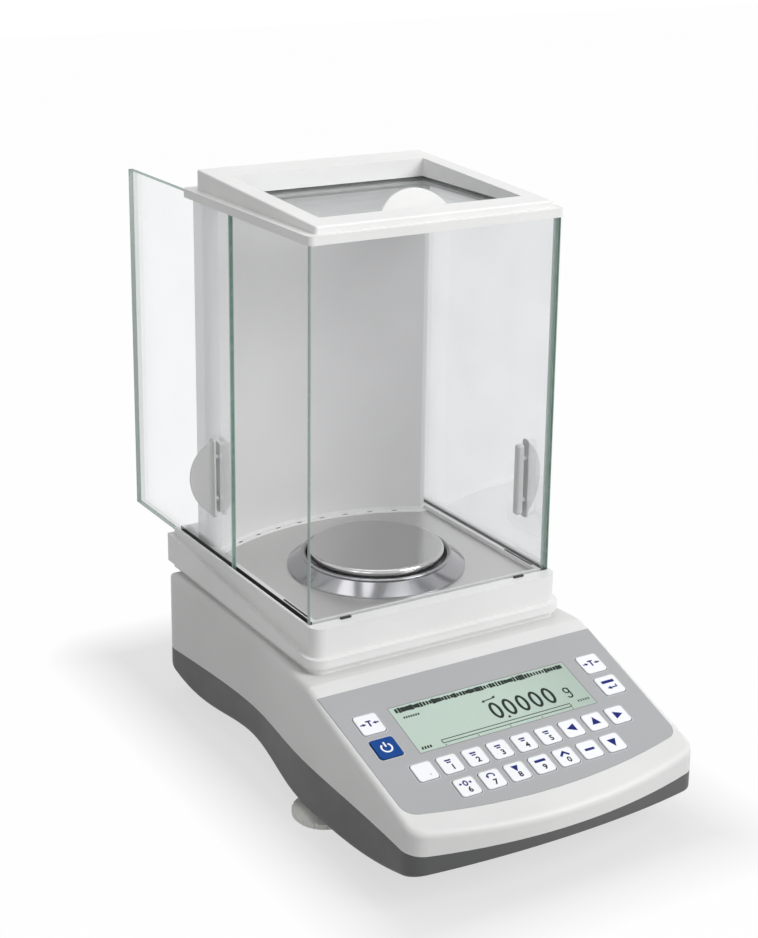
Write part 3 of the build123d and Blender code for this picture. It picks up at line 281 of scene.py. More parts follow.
class Nodes:
    """Small helper that builds a material's node tree."""

    def __init__(self, name):
        self.material = bpy.data.materials.new(name)
        self.material.use_nodes = True
        self.tree = self.material.node_tree
        self.tree.nodes.clear()
        self.out = self.add("ShaderNodeOutputMaterial")
        self.coords = self.add("ShaderNodeTexCoord").outputs["Object"]

    def add(self, kind, **inputs):
        node = self.tree.nodes.new(kind)
        for name, value in inputs.items():
            self.feed(node.inputs[name.replace("_", " ")], value)
        return node

    def feed(self, socket, value):
        if isinstance(value, bpy.types.NodeSocket):
            self.tree.links.new(value, socket)
        elif hasattr(value, "__len__") and len(value) == 3 and socket.type == "RGBA":
            socket.default_value = (*value, 1.0)
        else:
            socket.default_value = value

    def maths(self, operation, *values):
        node = self.tree.nodes.new("ShaderNodeMath")
        node.operation = operation
        for socket, value in zip(node.inputs, values):
            self.feed(socket, value)
        return node.outputs[0]

    def stretched(self, scale):
        node = self.add("ShaderNodeMapping", Vector=self.coords)
        node.inputs["Scale"].default_value = scale
        return node.outputs[0]

    def noise(self, scale, detail=4.0, vector=None, roughness=0.55):
        node = self.add("ShaderNodeTexNoise", Scale=scale, Detail=detail, Roughness=roughness)
        self.feed(node.inputs["Vector"], vector or self.coords)
        return node.outputs["Fac"]

    def spread(self, value, low, high, from_low=0.3, from_high=0.7):
        node = self.add("ShaderNodeMapRange", Value=value)
        ends = {"From Min": from_low, "From Max": from_high, "To Min": low, "To Max": high}
        for name, end in ends.items():
            node.inputs[name].default_value = end
        return node.outputs[0]

    def mix(self, share, first, second):
        node = self.tree.nodes.new("ShaderNodeMix")
        node.data_type = "RGBA"
        self.feed(node.inputs[0], share)
        self.feed(node.inputs[6], first)
        self.feed(node.inputs[7], second)
        return node.outputs[2]

    def bump(self, height, strength, distance):
        node = self.add("ShaderNodeBump", Height=height)
        node.inputs["Strength"].default_value = strength
        node.inputs["Distance"].default_value = distance
        return node.outputs[0]

    def shader(self, **inputs):
        return self.add("ShaderNodeBsdfPrincipled", **inputs).outputs[0]

    def finish(self, shader):
        self.feed(self.out.inputs["Surface"], shader)
        return self.material


def scaled(value, factor):
    return tuple(min(1.0, v * factor) for v in value)


def plastic(name, base, roughness=0.42, grain=900.0, depth=0.00004, variation=0.05, sheen=0.5):
    """Moulded plastic: fine grain, faint cloudy colour and uneven gloss."""
    n = Nodes(name)
    cloud = n.spread(n.noise(9.0, 3.0), 0.0, 1.0)
    tone = n.mix(cloud, scaled(base, 1 - variation), scaled(base, 1 + variation))
    fine = n.noise(grain, 2.0)
    rough = n.spread(n.noise(38.0, 5.0), roughness - 0.05, roughness + 0.07)
    relief = n.bump(fine, 0.25, depth)
    return n.finish(n.shader(Base_Color=tone, Roughness=rough, Specular_IOR_Level=sheen, Normal=relief))


def metal(name, base, roughness=0.3, stretch=(4.0, 900.0, 60.0), streak=0.08, depth=0.00002):
    """Brushed or turned metal: long fine streaks in gloss, tone and relief."""
    n = Nodes(name)
    lines = n.noise(1.0, 6.0, n.stretched(stretch), 0.7)
    cloud = n.noise(14.0, 3.0)
    tone = n.mix(n.spread(lines, 0.0, 1.0), scaled(base, 1 - streak), scaled(base, 1 + streak))
    gloss = n.maths("ADD", n.spread(lines, roughness * 0.85, roughness * 1.2), n.spread(cloud, -0.01, 0.02))
    shader = n.shader(Base_Color=tone, Metallic=1.0, Roughness=gloss, Normal=n.bump(lines, 0.2, depth))
    return n.finish(shader)


def turned_metal(name, base, centre, roughness=0.25, pitch=5200.0, ripple=0.05):
    """Metal turned on a lathe: fine rings about an upright axis."""
    n = Nodes(name)
    split = n.add("ShaderNodeSeparateXYZ", Vector=n.coords)
    dx = n.maths("SUBTRACT", split.outputs[0], centre[0])
    dy = n.maths("SUBTRACT", split.outputs[1], centre[1])
    radius = n.maths("SQRT", n.maths("ADD", n.maths("MULTIPLY", dx, dx), n.maths("MULTIPLY", dy, dy)))
    rings = n.add("ShaderNodeTexNoise", Scale=pitch, Detail=3.0)
    rings.noise_dimensions = "1D"
    n.feed(rings.inputs["W"], radius)
    lines = rings.outputs["Fac"]
    cloud = n.noise(20.0, 4.0)
    tone = n.mix(n.spread(lines, 0.0, 1.0), scaled(base, 1 - ripple), scaled(base, 1 + ripple))
    gloss = n.maths("ADD", n.spread(lines, roughness - 0.04, roughness + 0.05), n.spread(cloud, -0.02, 0.04))
    shader = n.shader(Base_Color=tone, Metallic=1.0, Roughness=gloss, Normal=n.bump(lines, 0.12, 0.00001))
    return n.finish(shader)


def printed(name, base, roughness=0.5):
    """Screen-printed ink: slightly mottled."""
    n = Nodes(name)
    fine = n.noise(2400.0, 3.0)
    tone = n.mix(n.spread(fine, 0.0, 1.0), scaled(base, 0.9), scaled(base, 1.12))
    rough = n.spread(fine, roughness, roughness + 0.1)
    return n.finish(n.shader(Base_Color=tone, Roughness=rough, Specular_IOR_Level=0.12))


def pane(name, look, thin, low, high, green):
    """Clear pane with cut edges: the named rims are green in the middle and pale at their borders, a painted
    highlight; the other rims are painted highlight all over.
    """
    n = Nodes(name)
    split = n.add("ShaderNodeSeparateXYZ", Vector=n.coords)
    across = n.maths("SUBTRACT", split.outputs[thin], (low[thin] + high[thin]) / 2)
    # Share of the pale painted highlight across an edge's thickness: none in the green core, whole towards
    # the faces.
    painted_highlight_share = n.spread(n.maths("ABSOLUTE", across), 0.0, 1.0, CORE_HALF, PAINTED_HIGHLIGHT_FROM)
    wave = n.noise(180.0, 4.0)
    green_core_with_painted_highlight = n.mix(painted_highlight_share, look.edge, look.rim_with_painted_highlight)
    # Rims that are not named green are painted highlight all over.
    tone, on_edge = look.rim_with_painted_highlight, 0.0
    for axis in range(3):
        if axis != thin:
            for side, far in (("low", low[axis]), ("high", high[axis])):
                near = n.maths("ABSOLUTE", n.maths("SUBTRACT", split.outputs[axis], far))
                here = n.maths("LESS_THAN", near, EDGE_REACH)
                on_edge = n.maths("MAXIMUM", on_edge, here)
                if (axis, side) in green:
                    tone = n.mix(here, tone, green_core_with_painted_highlight)
    smear = n.spread(n.noise(26.0, 6.0), 0.0, 1.0, 0.45, 0.75)
    clear = n.add("ShaderNodeBsdfTransparent", Color=n.mix(smear, look.tint, scaled(look.tint, 0.985)))
    gloss = n.spread(smear, 0.01, 0.05, 0.0, 1.0)
    mirror = n.add("ShaderNodeBsdfGlossy", Color=(0.9, 0.92, 0.92), Roughness=gloss)
    fresnel = n.add("ShaderNodeFresnel", IOR=1.3)
    face = n.add("ShaderNodeMixShader", Fac=n.maths("MULTIPLY", fresnel.outputs[0], 0.4))
    n.tree.links.new(clear.outputs[0], face.inputs[1])
    n.tree.links.new(mirror.outputs[0], face.inputs[2])
    # Patches of every rim are blended further towards the painted highlight at random.
    edge_tone_with_painted_highlight = n.mix(n.spread(wave, 0.0, 0.3), tone, look.rim_with_painted_highlight)
    cut = n.shader(Base_Color=edge_tone_with_painted_highlight, Roughness=n.spread(wave, 0.12, 0.3), Normal=n.bump(wave, 0.2, 0.00005))
    glow = n.add("ShaderNodeBsdfTransparent", Color=edge_tone_with_painted_highlight)
    rim_with_painted_highlight = n.add("ShaderNodeMixShader", Fac=0.3)
    n.tree.links.new(cut, rim_with_painted_highlight.inputs[1])
    n.tree.links.new(glow.outputs[0], rim_with_painted_highlight.inputs[2])
    whole = n.add("ShaderNodeMixShader", Fac=on_edge)
    n.tree.links.new(face.outputs[0], whole.inputs[1])
    n.tree.links.new(rim_with_painted_highlight.outputs[0], whole.inputs[2])
    return n.finish(whole.outputs[0])


def dress(material, *nodes):
    """Puts one material on CAD nodes."""
    for name in nodes:
        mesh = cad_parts[name].data
        if not mesh.materials:
            mesh.materials.append(material)
        for i in range(len(mesh.materials)):
            mesh.materials[i] = material


def on_panel(u, v, n):
    """Point of the panel: u across, v down the slope, n above its surface, in metres."""
    return PANEL_ORIGIN + ACROSS * u + DOWN * v + NORMAL * n


def panel_turn(height):
    """Turns flat X, Y, Z into across, up the slope and away from the panel, from a height above it."""
    turn = Matrix((ACROSS, -DOWN, NORMAL)).transposed().to_4x4()
    turn.translation = PANEL_ORIGIN + NORMAL * height
    return turn


def new_mesh(name, points, faces, material):
    mesh = bpy.data.meshes.new(name)
    mesh.from_pydata(points, [], faces)
    mesh.materials.append(material)
    mesh.update()
    return mesh


def add_piece(name, mesh, body):
    piece = bpy.data.objects.new(name, mesh)
    bpy.context.scene.collection.objects.link(piece)
    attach(piece, body)


class Marks:
    """Flat printed marks, gathered as one thin mesh on the panel."""

    def __init__(self, low, thick):
        self.low, self.thick = low, thick
        self.points, self.faces = [], []

    def strip(self, inner, outer, closed=True):
        """Band between two outlines with the same number of points, each a list of (u, v)."""
        count, start = len(inner), len(self.points)
        for level in (self.low, self.low + self.thick):
            for outline in (inner, outer):
                self.points += [on_panel(u, v, level) for u, v in outline]
        for i in range(count if closed else count - 1):
            j = (i + 1) % count
            a, b = start + i, start + j
            top = 2 * count
            self.faces.append((a + top, b + top, b + top + count, a + top + count))
            self.faces.append((a, a + count, b + count, b))
            self.faces.append((a, b, b + top, a + top))
            self.faces.append((a + count, a + count + top, b + count + top, b + count))
        if not closed:
            for i, turn in ((0, 1), (count - 1, -1)):
                a, top = start + i, 2 * count
                self.faces.append((a, a + top, a + top + count, a + count)[::turn])

    def shape(self, outline):
        """Filled convex outline, a list of (u, v)."""
        start, count = len(self.points), len(outline)
        for level in (self.low, self.low + self.thick):
            self.points += [on_panel(u, v, level) for u, v in outline]
        self.faces.append(tuple(start + i for i in range(count)))
        self.faces.append(tuple(start + count + i for i in reversed(range(count))))
        for i in range(count):
            j = (i + 1) % count
            self.faces.append((start + i, start + count + i, start + count + j, start + j))

    def bar(self, u, v, wide, high, turn=0.0):
        c, s = math.cos(turn), math.sin(turn)
        corners = ((-1, -1), (1, -1), (1, 1), (-1, 1))
        self.shape([
            (u + (c * x * wide - s * y * high) / 2, v + (s * x * wide + c * y * high) / 2) for x, y in corners
        ])

    def row(self, count, u, step, v, wide, high, turn=0.0):
        """Equal bars at equal steps across, the first at u."""
        for i in range(count):
            self.bar(u + step * i, v, wide, high, turn)

    def triangle(self, u, v, size, turn):
        """Triangle that points up the panel at turn 0 and clockwise from there."""
        points = []
        for corner, share in ((0, 0.95), (2.25, 1.05), (-2.25, 1.05)):
            a, reach = turn + corner, size / 2 * share
            points.append((u + reach * math.sin(a), v - reach * math.cos(a)))
        self.shape(points)

    def arc(self, u, v, wide, high, line, start=0.0, sweep=2 * math.pi, steps=28):
        """Stroked ellipse or a part of it."""
        closed = sweep >= 2 * math.pi - 1e-6
        count = steps if closed else steps + 1
        angles = [start + sweep * i / steps for i in range(count)]
        inner = [(u + (wide - line) / 2 * math.sin(a), v - (high - line) / 2 * math.cos(a)) for a in angles]
        outer = [(u + (wide + line) / 2 * math.sin(a), v - (high + line) / 2 * math.cos(a)) for a in angles]
        self.strip(inner, outer, closed)

    def frame(self, u, v, wide, high, line, steps=6):
        """Stroked rectangle, sharp inside and rounded outside."""
        def outline(w, h, r):
            points = []
            for i, (x, y) in enumerate(((1, -1), (1, 1), (-1, 1), (-1, -1))):
                for k in range(steps + 1):
                    a = (i + k / steps) * math.pi / 2
                    across, down = x * (w / 2 - r), y * (h / 2 - r)
                    points.append((u + across + r * math.sin(a), v + down - r * math.cos(a)))
            return points
        self.strip(outline(wide, high, 0.0), outline(wide + 2 * line, high + 2 * line, line))

    def text(self, body, u, v, high):
        """Plain digits from the built-in typeface."""
        curve = bpy.data.curves.new("digits", "FONT")
        curve.body, curve.size = body, high * FACE_PER_HEIGHT
        curve.align_x, curve.align_y = "CENTER", "CENTER"
        curve.resolution_u = 3
        curve.offset = high * STROKE_PER_HEIGHT
        holder = bpy.data.objects.new("digits", curve)
        bpy.context.scene.collection.objects.link(holder)
        flat = bpy.data.meshes.new_from_object(holder.evaluated_get(bpy.context.evaluated_depsgraph_get()))
        start = len(self.points)
        self.points += [on_panel(u + p.co.x, v - p.co.y, self.low + self.thick) for p in flat.vertices]
        self.faces += [tuple(start + i for i in face.vertices) for face in flat.polygons]
        bpy.data.objects.remove(holder)
        bpy.data.meshes.remove(flat)
        bpy.data.curves.remove(curve)

    def mesh(self, name, material):
        return new_mesh(name, self.points, self.faces, material)


def all_keys(p):
    """Name, place and size of every key."""
    keys = []
    for names, v in ((ROW_1, p.row_1), (ROW_2, p.row_2)):
        first = -(len(names) - 1) / 2
        keys += [(name, (first + i) * p.pitch, v, p.key_size) for i, name in enumerate(names)]
    for name, side, low in SIDE_KEYS:
        keys.append((name, side * p.side_x, p.side_2 if low else p.side_1, p.side_size))
    return keys


def instance_group(name, material, build):
    """Geometry Nodes group over loose points: build adds its nodes and returns their geometry."""
    group = bpy.data.node_groups.new(name, "GeometryNodeTree")
    group.interface.new_socket("Geometry", in_out="INPUT", socket_type="NodeSocketGeometry")
    width = group.interface.new_socket("Width", in_out="INPUT", socket_type="NodeSocketFloat")
    height = group.interface.new_socket("Height", in_out="INPUT", socket_type="NodeSocketFloat")
    group.interface.new_socket("Geometry", in_out="OUTPUT", socket_type="NodeSocketGeometry")
    source = group.nodes.new("NodeGroupInput")
    target = group.nodes.new("NodeGroupOutput")
    made = build(group, source)
    realize = group.nodes.new("GeometryNodeRealizeInstances")
    paint = group.nodes.new("GeometryNodeSetMaterial")
    paint.inputs["Material"].default_value = material
    group.links.new(made, realize.inputs[0])
    group.links.new(realize.outputs[0], paint.inputs[0])
    group.links.new(paint.outputs[0], target.inputs[0])
    return group, width.identifier, height.identifier


def instanced(name, group, values, points, turn, body):
    """Runs a group on loose points and keeps the result as a plain mesh."""
    cloud = bpy.data.meshes.new(name + "_points")
    cloud.from_pydata(points, [], [])
    holder = bpy.data.objects.new(name + "_points", cloud)
    bpy.context.scene.collection.objects.link(holder)
    modifier = holder.modifiers.new("instances", "NODES")
    modifier.node_group = group
    for identifier, value in values.items():
        modifier[identifier] = value
    mesh = bpy.data.meshes.new_from_object(holder.evaluated_get(bpy.context.evaluated_depsgraph_get()))
    bpy.data.objects.remove(holder)
    mesh.transform(turn)
    mesh.name = name
    add_piece(name, mesh, body)


class BalancePiece:
    """Shared parts of the operators."""

    bl_options = {"REGISTER", "UNDO"}

    def execute(self, context):
        self.make(context.scene.balance_colours, context.scene)
        return {"FINISHED"}


class BALANCE_OT_housing(BalancePiece, bpy.types.Operator):
    """Finishes of the two housing shells and of what is screwed to them"""

    bl_idname = "balance.housing"
    bl_label = "Housing"

    def make(self, look, scene):
        dress(plastic("case_light", look.shell, sheen=0.4), "upper_case")
        dark = plastic("case_dark", look.underside, roughness=0.5, grain=700.0, depth=0.00008, variation=0.12)
        dress(dark, "bottom_case", "hook_cover")
        dress(metal("screw_steel", look.screw, roughness=0.35), "case_screws", "shield_screws")
        dress(metal("insert_brass", look.brass), "foot_inserts")


class BALANCE_OT_feet(BalancePiece, bpy.types.Operator):
    """Finish of the four levelling feet"""

    bl_idname = "balance.feet"
    bl_label = "Feet"

    def make(self, look, scene):
        pale = plastic("foot_plastic", look.foot, roughness=0.45, grain=500.0, depth=0.00006, variation=0.06)
        dress(pale, "foot_front_left", "foot_front_right", "foot_rear_left", "foot_rear_right")


class BALANCE_OT_film(BalancePiece, bpy.types.Operator):
    """Printed film of the panel with a fine line round every key"""

    bl_idname = "balance.film"
    bl_label = "Panel film"

    def make(self, look, scene):
        panel = scene.balance_panel
        grey = plastic(
            "film_grey", look.film, roughness=0.55, grain=1500.0, depth=0.00003, variation=0.03, sheen=0.2
        )
        dress(grey, "keypad_overlay")
        self.key_lines(look, panel)
        self.display_line(look, panel)

    def key_lines(self, look, panel):
        """Dark line and pale halo round every key."""
        line = printed("film_line", scaled(look.film, 0.42))
        halo = printed("film_halo", look.halo)
        bands = (
            ("line", line, panel.gap, panel.line_w),
            ("halo", halo, panel.gap + panel.line_w, panel.halo_w),
        )
        beside = [name for name, _, _ in SIDE_KEYS]
        for label, size, names in (("row", panel.key_size, ROW_1 + ROW_2), ("side", panel.side_size, beside)):
            spots = [Vector((u, -v, 0.0)) for name, u, v, _ in all_keys(panel) if name in names]
            for band, material, start, wide in bands:
                name = f"key_{band}_{label}"
                group, width, height = instance_group(name, material, self.ring)
                values = {width: size + 2 * start + wide, height: wide}
                turn = panel_turn(panel.film_top)
                instanced(name, group, values, spots, turn, "balance")

    @staticmethod
    def ring(group, source):
        """Rounded square outline on every point, with a flat ribbon as its profile."""
        panel = bpy.context.scene.balance_panel
        square = group.nodes.new("GeometryNodeCurvePrimitiveQuadrilateral")
        group.links.new(source.outputs["Width"], square.inputs["Width"])
        group.links.new(source.outputs["Width"], square.inputs["Height"])
        round_off = group.nodes.new("GeometryNodeFilletCurve")
        round_off.mode = "POLY"
        round_off.inputs["Count"].default_value = panel.corner_steps
        round_off.inputs["Radius"].default_value = panel.corner
        group.links.new(square.outputs[0], round_off.inputs[0])
        ribbon = group.nodes.new("GeometryNodeCurvePrimitiveQuadrilateral")
        group.links.new(source.outputs["Height"], ribbon.inputs["Width"])
        ribbon.inputs["Height"].default_value = panel.line_t
        sweep = group.nodes.new("GeometryNodeCurveToMesh")
        group.links.new(round_off.outputs[0], sweep.inputs["Curve"])
        group.links.new(ribbon.outputs[0], sweep.inputs["Profile Curve"])
        spread = group.nodes.new("GeometryNodeInstanceOnPoints")
        group.links.new(source.outputs["Geometry"], spread.inputs["Points"])
        group.links.new(sweep.outputs[0], spread.inputs["Instance"])
        return spread.outputs[0]

    @staticmethod
    def display_line(look, panel):
        """Fine line round the display window."""
        low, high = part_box("display_lens")
        wide = high.x - low.x + 2 * panel.window_gap
        marks = Marks(panel.film_top, panel.print_t)
        marks.frame(0.0, panel.window_v, wide, panel.window_h, panel.window_line)
        mesh = marks.mesh("display_line", printed("window_line", scaled(look.film, 0.6)))
        add_piece("display_line", mesh, "balance")


class BALANCE_OT_display(BalancePiece, bpy.types.Operator):
    """Display window, crystal face and its dark segments"""

    bl_idname = "balance.display"
    bl_label = "Display"

    def make(self, look, scene):
        panel = scene.balance_panel
        dress(self.face(look), "display_lens")
        dress(plastic("module_grey", look.module, roughness=0.4), "display_module")
        ink = printed("segment_ink", look.segment, roughness=0.35)
        marks = Marks(panel.film_top, panel.print_t)
        self.reading(marks, scene.balance_display)
        self.signs(marks)
        add_piece("display_segments", marks.mesh("display_segments", ink), "balance")
        self.icons(panel, scene.balance_display, printed("icon_ink", look.segment, roughness=0.35))

    @staticmethod
    def face(look):
        """Pale green crystal, a little darker to the right with painted shade of the window's bezel, with a
        fine grain.
        """
        n = Nodes("crystal_face")
        split = n.add("ShaderNodeSeparateXYZ", Vector=n.coords)
        # Painted shade: the face darkens towards its right, where the window's bezel shades it.
        across = n.spread(split.outputs[0], 0.0, 1.0, 0.01, 0.062)
        tone = n.mix(across, look.crystal, scaled(look.crystal, 0.82))
        fine = n.noise(1600.0, 2.0)
        tone = n.mix(n.spread(fine, 0.0, 0.12), tone, look.glint)
        rough = n.spread(fine, 0.3, 0.4)
        return n.finish(n.shader(Base_Color=tone, Roughness=rough, Specular_IOR_Level=0.25))

    @staticmethod
    def reading(marks, display):
        """Tall noughts with a point after the first."""
        size = (display.nought_w, display.nought_h, display.stroke)
        for i in range(display.noughts):
            u = display.nought_u + display.nought_step * i
            marks.arc(u, display.nought_v, *size, steps=display.nought_steps)
        marks.bar(display.point_u, display.point_v, display.point, display.point)

    @staticmethod
    def signs(marks):
        """Stability sign, gram sign, capacity bar with its ticks, and small marks in three corners."""
        marks.bar(-0.5 * MM, 34.2 * MM, 7.0 * MM, 0.7 * MM, -0.1)
        marks.triangle(-4.4 * MM, 34.6 * MM, 2.8 * MM, 0.5)
        marks.triangle(3.8 * MM, 33.2 * MM, 2.8 * MM, 0.9)
        marks.arc(49.8 * MM, 43.4 * MM, 3.4 * MM, 4.0 * MM, 1.0 * MM)
        marks.bar(51.5 * MM, 44.9 * MM, 1.0 * MM, 6.8 * MM)
        start, sweep = math.radians(100), math.radians(150)
        marks.arc(49.8 * MM, 47.6 * MM, 3.4 * MM, 3.6 * MM, 1.0 * MM, start, sweep, 14)
        marks.frame(0.0, 55.0 * MM, 90.2 * MM, 1.9 * MM, 0.55 * MM)
        marks.row(5, -44.5 * MM, 22.4 * MM, 57.8 * MM, 0.5 * MM, 1.0 * MM)
        marks.row(4, -59.0 * MM, 1.8 * MM, 55.8 * MM, 1.2 * MM, 2.0 * MM, 0.2)
        marks.row(5, 52.2 * MM, 1.8 * MM, 53.6 * MM, 0.8 * MM, 1.8 * MM)
        marks.row(7, -56.5 * MM, 1.6 * MM, 30.6 * MM, 1.0 * MM, 1.6 * MM, 0.3)

    @staticmethod
    def icons(panel, display, ink):
        """Band of small signs along the top of the display."""
        step = display.band_w / display.icons
        first = (step - display.band_w) / 2
        spots = [Vector((first + step * i, -display.band_v, 0.0)) for i in range(display.icons)]

        def build(group, source):
            tile = group.nodes.new("GeometryNodeMeshCube")
            size = group.nodes.new("ShaderNodeCombineXYZ")
            group.links.new(source.outputs["Width"], size.inputs[0])
            group.links.new(source.outputs["Height"], size.inputs[1])
            size.inputs[2].default_value = panel.print_t
            group.links.new(size.outputs[0], tile.inputs["Size"])
            vary = group.nodes.new("FunctionNodeRandomValue")
            vary.data_type = "FLOAT_VECTOR"
            vary.inputs[0].default_value = ICON_LEAST
            vary.inputs[1].default_value = ICON_MOST
            vary.inputs["Seed"].default_value = display.seed
            spread = group.nodes.new("GeometryNodeInstanceOnPoints")
            group.links.new(source.outputs["Geometry"], spread.inputs["Points"])
            group.links.new(tile.outputs[0], spread.inputs["Instance"])
            group.links.new(vary.outputs[0], spread.inputs["Scale"])
            return spread.outputs[0]

        group, width, height = instance_group("display_icons", ink, build)
        values = {width: display.icon_w, height: display.icon_h}
        turn = panel_turn(panel.film_top + panel.print_t / 2)
        instanced("display_icons", group, values, spots, turn, "balance")


class BALANCE_OT_keys(BalancePiece, bpy.types.Operator):
    """Key caps and the marks printed on them"""

    bl_idname = "balance.keys"
    bl_label = "Keys"

    def make(self, look, scene):
        panel = scene.balance_panel
        cap = {"grain": 1300.0, "depth": 0.00002}
        white = plastic("key_white", look.key, roughness=0.4, variation=0.02, **cap)
        blue = plastic("key_blue", look.key_blue, roughness=0.45, variation=0.08, sheen=0.12, **cap)
        ink = printed("key_ink", look.ink)
        dark = printed("digit_ink", look.digit)
        pale = printed("power_ink", look.power)
        for name, u, v, size in all_keys(panel):
            dress(blue if name == "power" else white, "key_" + name)
            marks = Marks(panel.key_top, panel.print_t)
            self.sign(marks, name, u, v, v - panel.sign_v)
            material = pale if name == "power" else ink
            add_piece("sign_" + name, marks.mesh("sign_" + name, material), "key_" + name)
            if name in DIGITS:
                digit = Marks(panel.key_top, panel.print_t)
                digit.text(DIGITS[name], u + panel.digit_u, v + panel.digit_v, panel.digit_h)
                add_piece("digit_" + name, digit.mesh("digit_" + name, dark), "key_" + name)

    @staticmethod
    def sign(marks, name, u, v, upper):
        """Arrow, bar or symbol of one key, about its middle or about the line above a digit."""
        turns = {"up": 0.0, "right": math.pi / 2, "down": math.pi, "left": -math.pi / 2}
        if name in turns:
            marks.triangle(u, v, 7.4 * MM, turns[name])
        elif name == "blank":
            marks.bar(u + 2.2 * MM, v + 3.4 * MM, 0.8 * MM, 0.5 * MM)
        elif name == "select":
            marks.triangle(u, upper, 5.8 * MM, math.pi)
        elif name in ("tare_left", "tare_right"):
            marks.bar(u, v, 1.1 * MM, 4.6 * MM)
            marks.bar(u, v - 2.0 * MM, 3.6 * MM, 1.0 * MM)
            for side in (-1, 1):
                marks.triangle(u + side * 3.4 * MM, v, 2.8 * MM, -side * math.pi / 2)
                marks.bar(u + side * 5.2 * MM, v, 1.8 * MM, 0.9 * MM)
        elif name == "enter":
            marks.bar(u, v - 2.6 * MM, 9.0 * MM, 2.2 * MM)
            marks.triangle(u - 1.8 * MM, v + 2.6 * MM, 3.4 * MM, -math.pi / 2)
            marks.bar(u + 1.2 * MM, v + 2.6 * MM, 4.0 * MM, 0.9 * MM)
            marks.bar(u + 3.4 * MM, v + 1.8 * MM, 0.9 * MM, 2.4 * MM)
        elif name == "power":
            marks.arc(u, v + 0.2 * MM, 6.4 * MM, 6.4 * MM, 1.1 * MM, math.radians(38), math.radians(284), 26)
            marks.bar(u, v - 2.4 * MM, 1.1 * MM, 3.8 * MM)
        elif name == "zero":
            marks.arc(u, upper, 2.3 * MM, 3.3 * MM, 0.9 * MM, steps=18)
            for side in (-1, 1):
                marks.triangle(u + side * 3.1 * MM, upper, 2.4 * MM, -side * math.pi / 2)
        elif name == "print":
            marks.arc(u, upper, 4.6 * MM, 3.2 * MM, 0.9 * MM, math.radians(-100), math.radians(230), 18)
            marks.triangle(u - 2.2 * MM, upper + 0.6 * MM, 2.5 * MM, math.pi)
        elif name == "menu":
            marks.bar(u, upper, 7.4 * MM, 1.9 * MM)
        elif name == "setup":
            for side in (-1, 1):
                marks.bar(u + side * 1.2 * MM, upper, 4.8 * MM, 1.5 * MM, side * 0.75)
        elif name == "clear":
            marks.bar(u, v, 6.6 * MM, 1.8 * MM)
        else:
            marks.bar(u - 0.4 * MM, upper - 0.4 * MM, 4.0 * MM, 1.1 * MM)
            marks.bar(u - 0.4 * MM, upper + 1.2 * MM, 2.8 * MM, 0.9 * MM)


class BALANCE_OT_shield(BalancePiece, bpy.types.Operator):
    """Finishes of the draft shield's frames, column, strips and handles"""

    bl_idname = "balance.shield"
    bl_label = "Draft shield"

    def make(self, look, scene):
        dress(plastic("shield_plastic", look.shield, roughness=0.38), "shield_base", "top_frame")
        paint = plastic("column_paint", look.column, grain=1100.0, depth=0.00003, variation=0.03)
        dress(paint, "rear_column")
        dress(plastic("strip_black", look.black, roughness=0.4), "slide_strips")
        handles = ("left_door_handle", "right_door_handle", "lid_handle")
        dress(plastic("handle_plastic", look.shell, roughness=0.4), *handles)


class BALANCE_OT_trim(BalancePiece, bpy.types.Operator):
    """Black clips in the rails, thin black sheets in the side grooves and dark blocks in the vents, the last
    two painted shade
    """

    bl_idname = "balance.trim"
    bl_label = "Black trim"

    def make(self, look, scene):
        black = plastic("trim_black", look.black, roughness=0.45)
        shield = scene.balance_shield
        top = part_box("shield_base")[1].z - shield.sunk
        front = (shield.clip_w, shield.clip_t, shield.clip_h)
        side = (shield.rail_w, shield.rail_l, shield.clip_h)
        groove_shade = (shield.groove_shade_t, shield.groove_shade_l, shield.groove_shade_h)
        for hand, sign in (("left", -1), ("right", 1)):
            spot = (sign * shield.clip_x, shield.clip_y)
            self.block(f"front_clip_{hand}", black, spot, top + shield.clip_proud, front)
            spot = (sign * shield.rail_x, shield.rail_y)
            self.block(f"rail_clip_{hand}", black, spot, top + shield.rail_proud, side)
            # Painted shade: a thin black sheet in the side groove, where the gap under the door is in shade.
            self.block(f"painted_groove_shade_{hand}", black, (sign * shield.groove_shade_x, shield.groove_shade_y), top, groove_shade)
        # Painted shade at the bottoms of the vents.
        self.painted_vent_shade(black, shield, top - shield.ledge)

    def painted_vent_shade(self, black, shield, top):
        """Dark blocks at the bottoms of the slots along the rear arc of the ledge: painted shade in the
        slots.
        """
        size = (shield.vent_l, shield.vent_w, shield.vent_h)
        for i in range(shield.vents):
            a = (i - (shield.vents - 1) / 2) * shield.vent_pitch / shield.vent_arc
            spot = (shield.vent_arc * math.sin(a), shield.vent_y - shield.vent_arc * (1 - math.cos(a)))
            self.block(f"vent_{i + 1}", black, spot, top, size, -a)

    @staticmethod
    def block(name, material, spot, top, size, turn=0.0):
        """Upright block whose top face lies at the given height, turned about its middle."""
        c, s = math.cos(turn), math.sin(turn)
        points = []
        for x in (-size[0] / 2, size[0] / 2):
            for y in (-size[1] / 2, size[1] / 2):
                for z in (top - size[2], top):
                    points.append((spot[0] + x * c - y * s, spot[1] + x * s + y * c, z))
        faces = [(0, 1, 3, 2), (4, 6, 7, 5), (0, 4, 5, 1), (2, 3, 7, 6), (0, 2, 6, 4), (1, 5, 7, 3)]
        add_piece(name, new_mesh(name, points, faces, material), "balance")


class BALANCE_OT_panes(BalancePiece, bpy.types.Operator):
    """Clear panes with green edges and a painted highlight on them"""

    bl_idname = "balance.panes"
    bl_label = "Panes"

    def make(self, look, scene):
        panes = {
            # The listed rims are green with a pale painted highlight at their borders; the others are painted
            # highlight all over.
            "front_glass": (1, ((0, "high"), (2, "high"))),
            "left_door": (0, ((1, "low"), (2, "high"))),
            "right_door": (0, ((2, "high"),)),
            "lid": (2, ()),
        }
        for node, (thin, green) in panes.items():
            low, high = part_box(node)
            dress(pane(f"pane_{node}", look, thin, low, high, green), node)


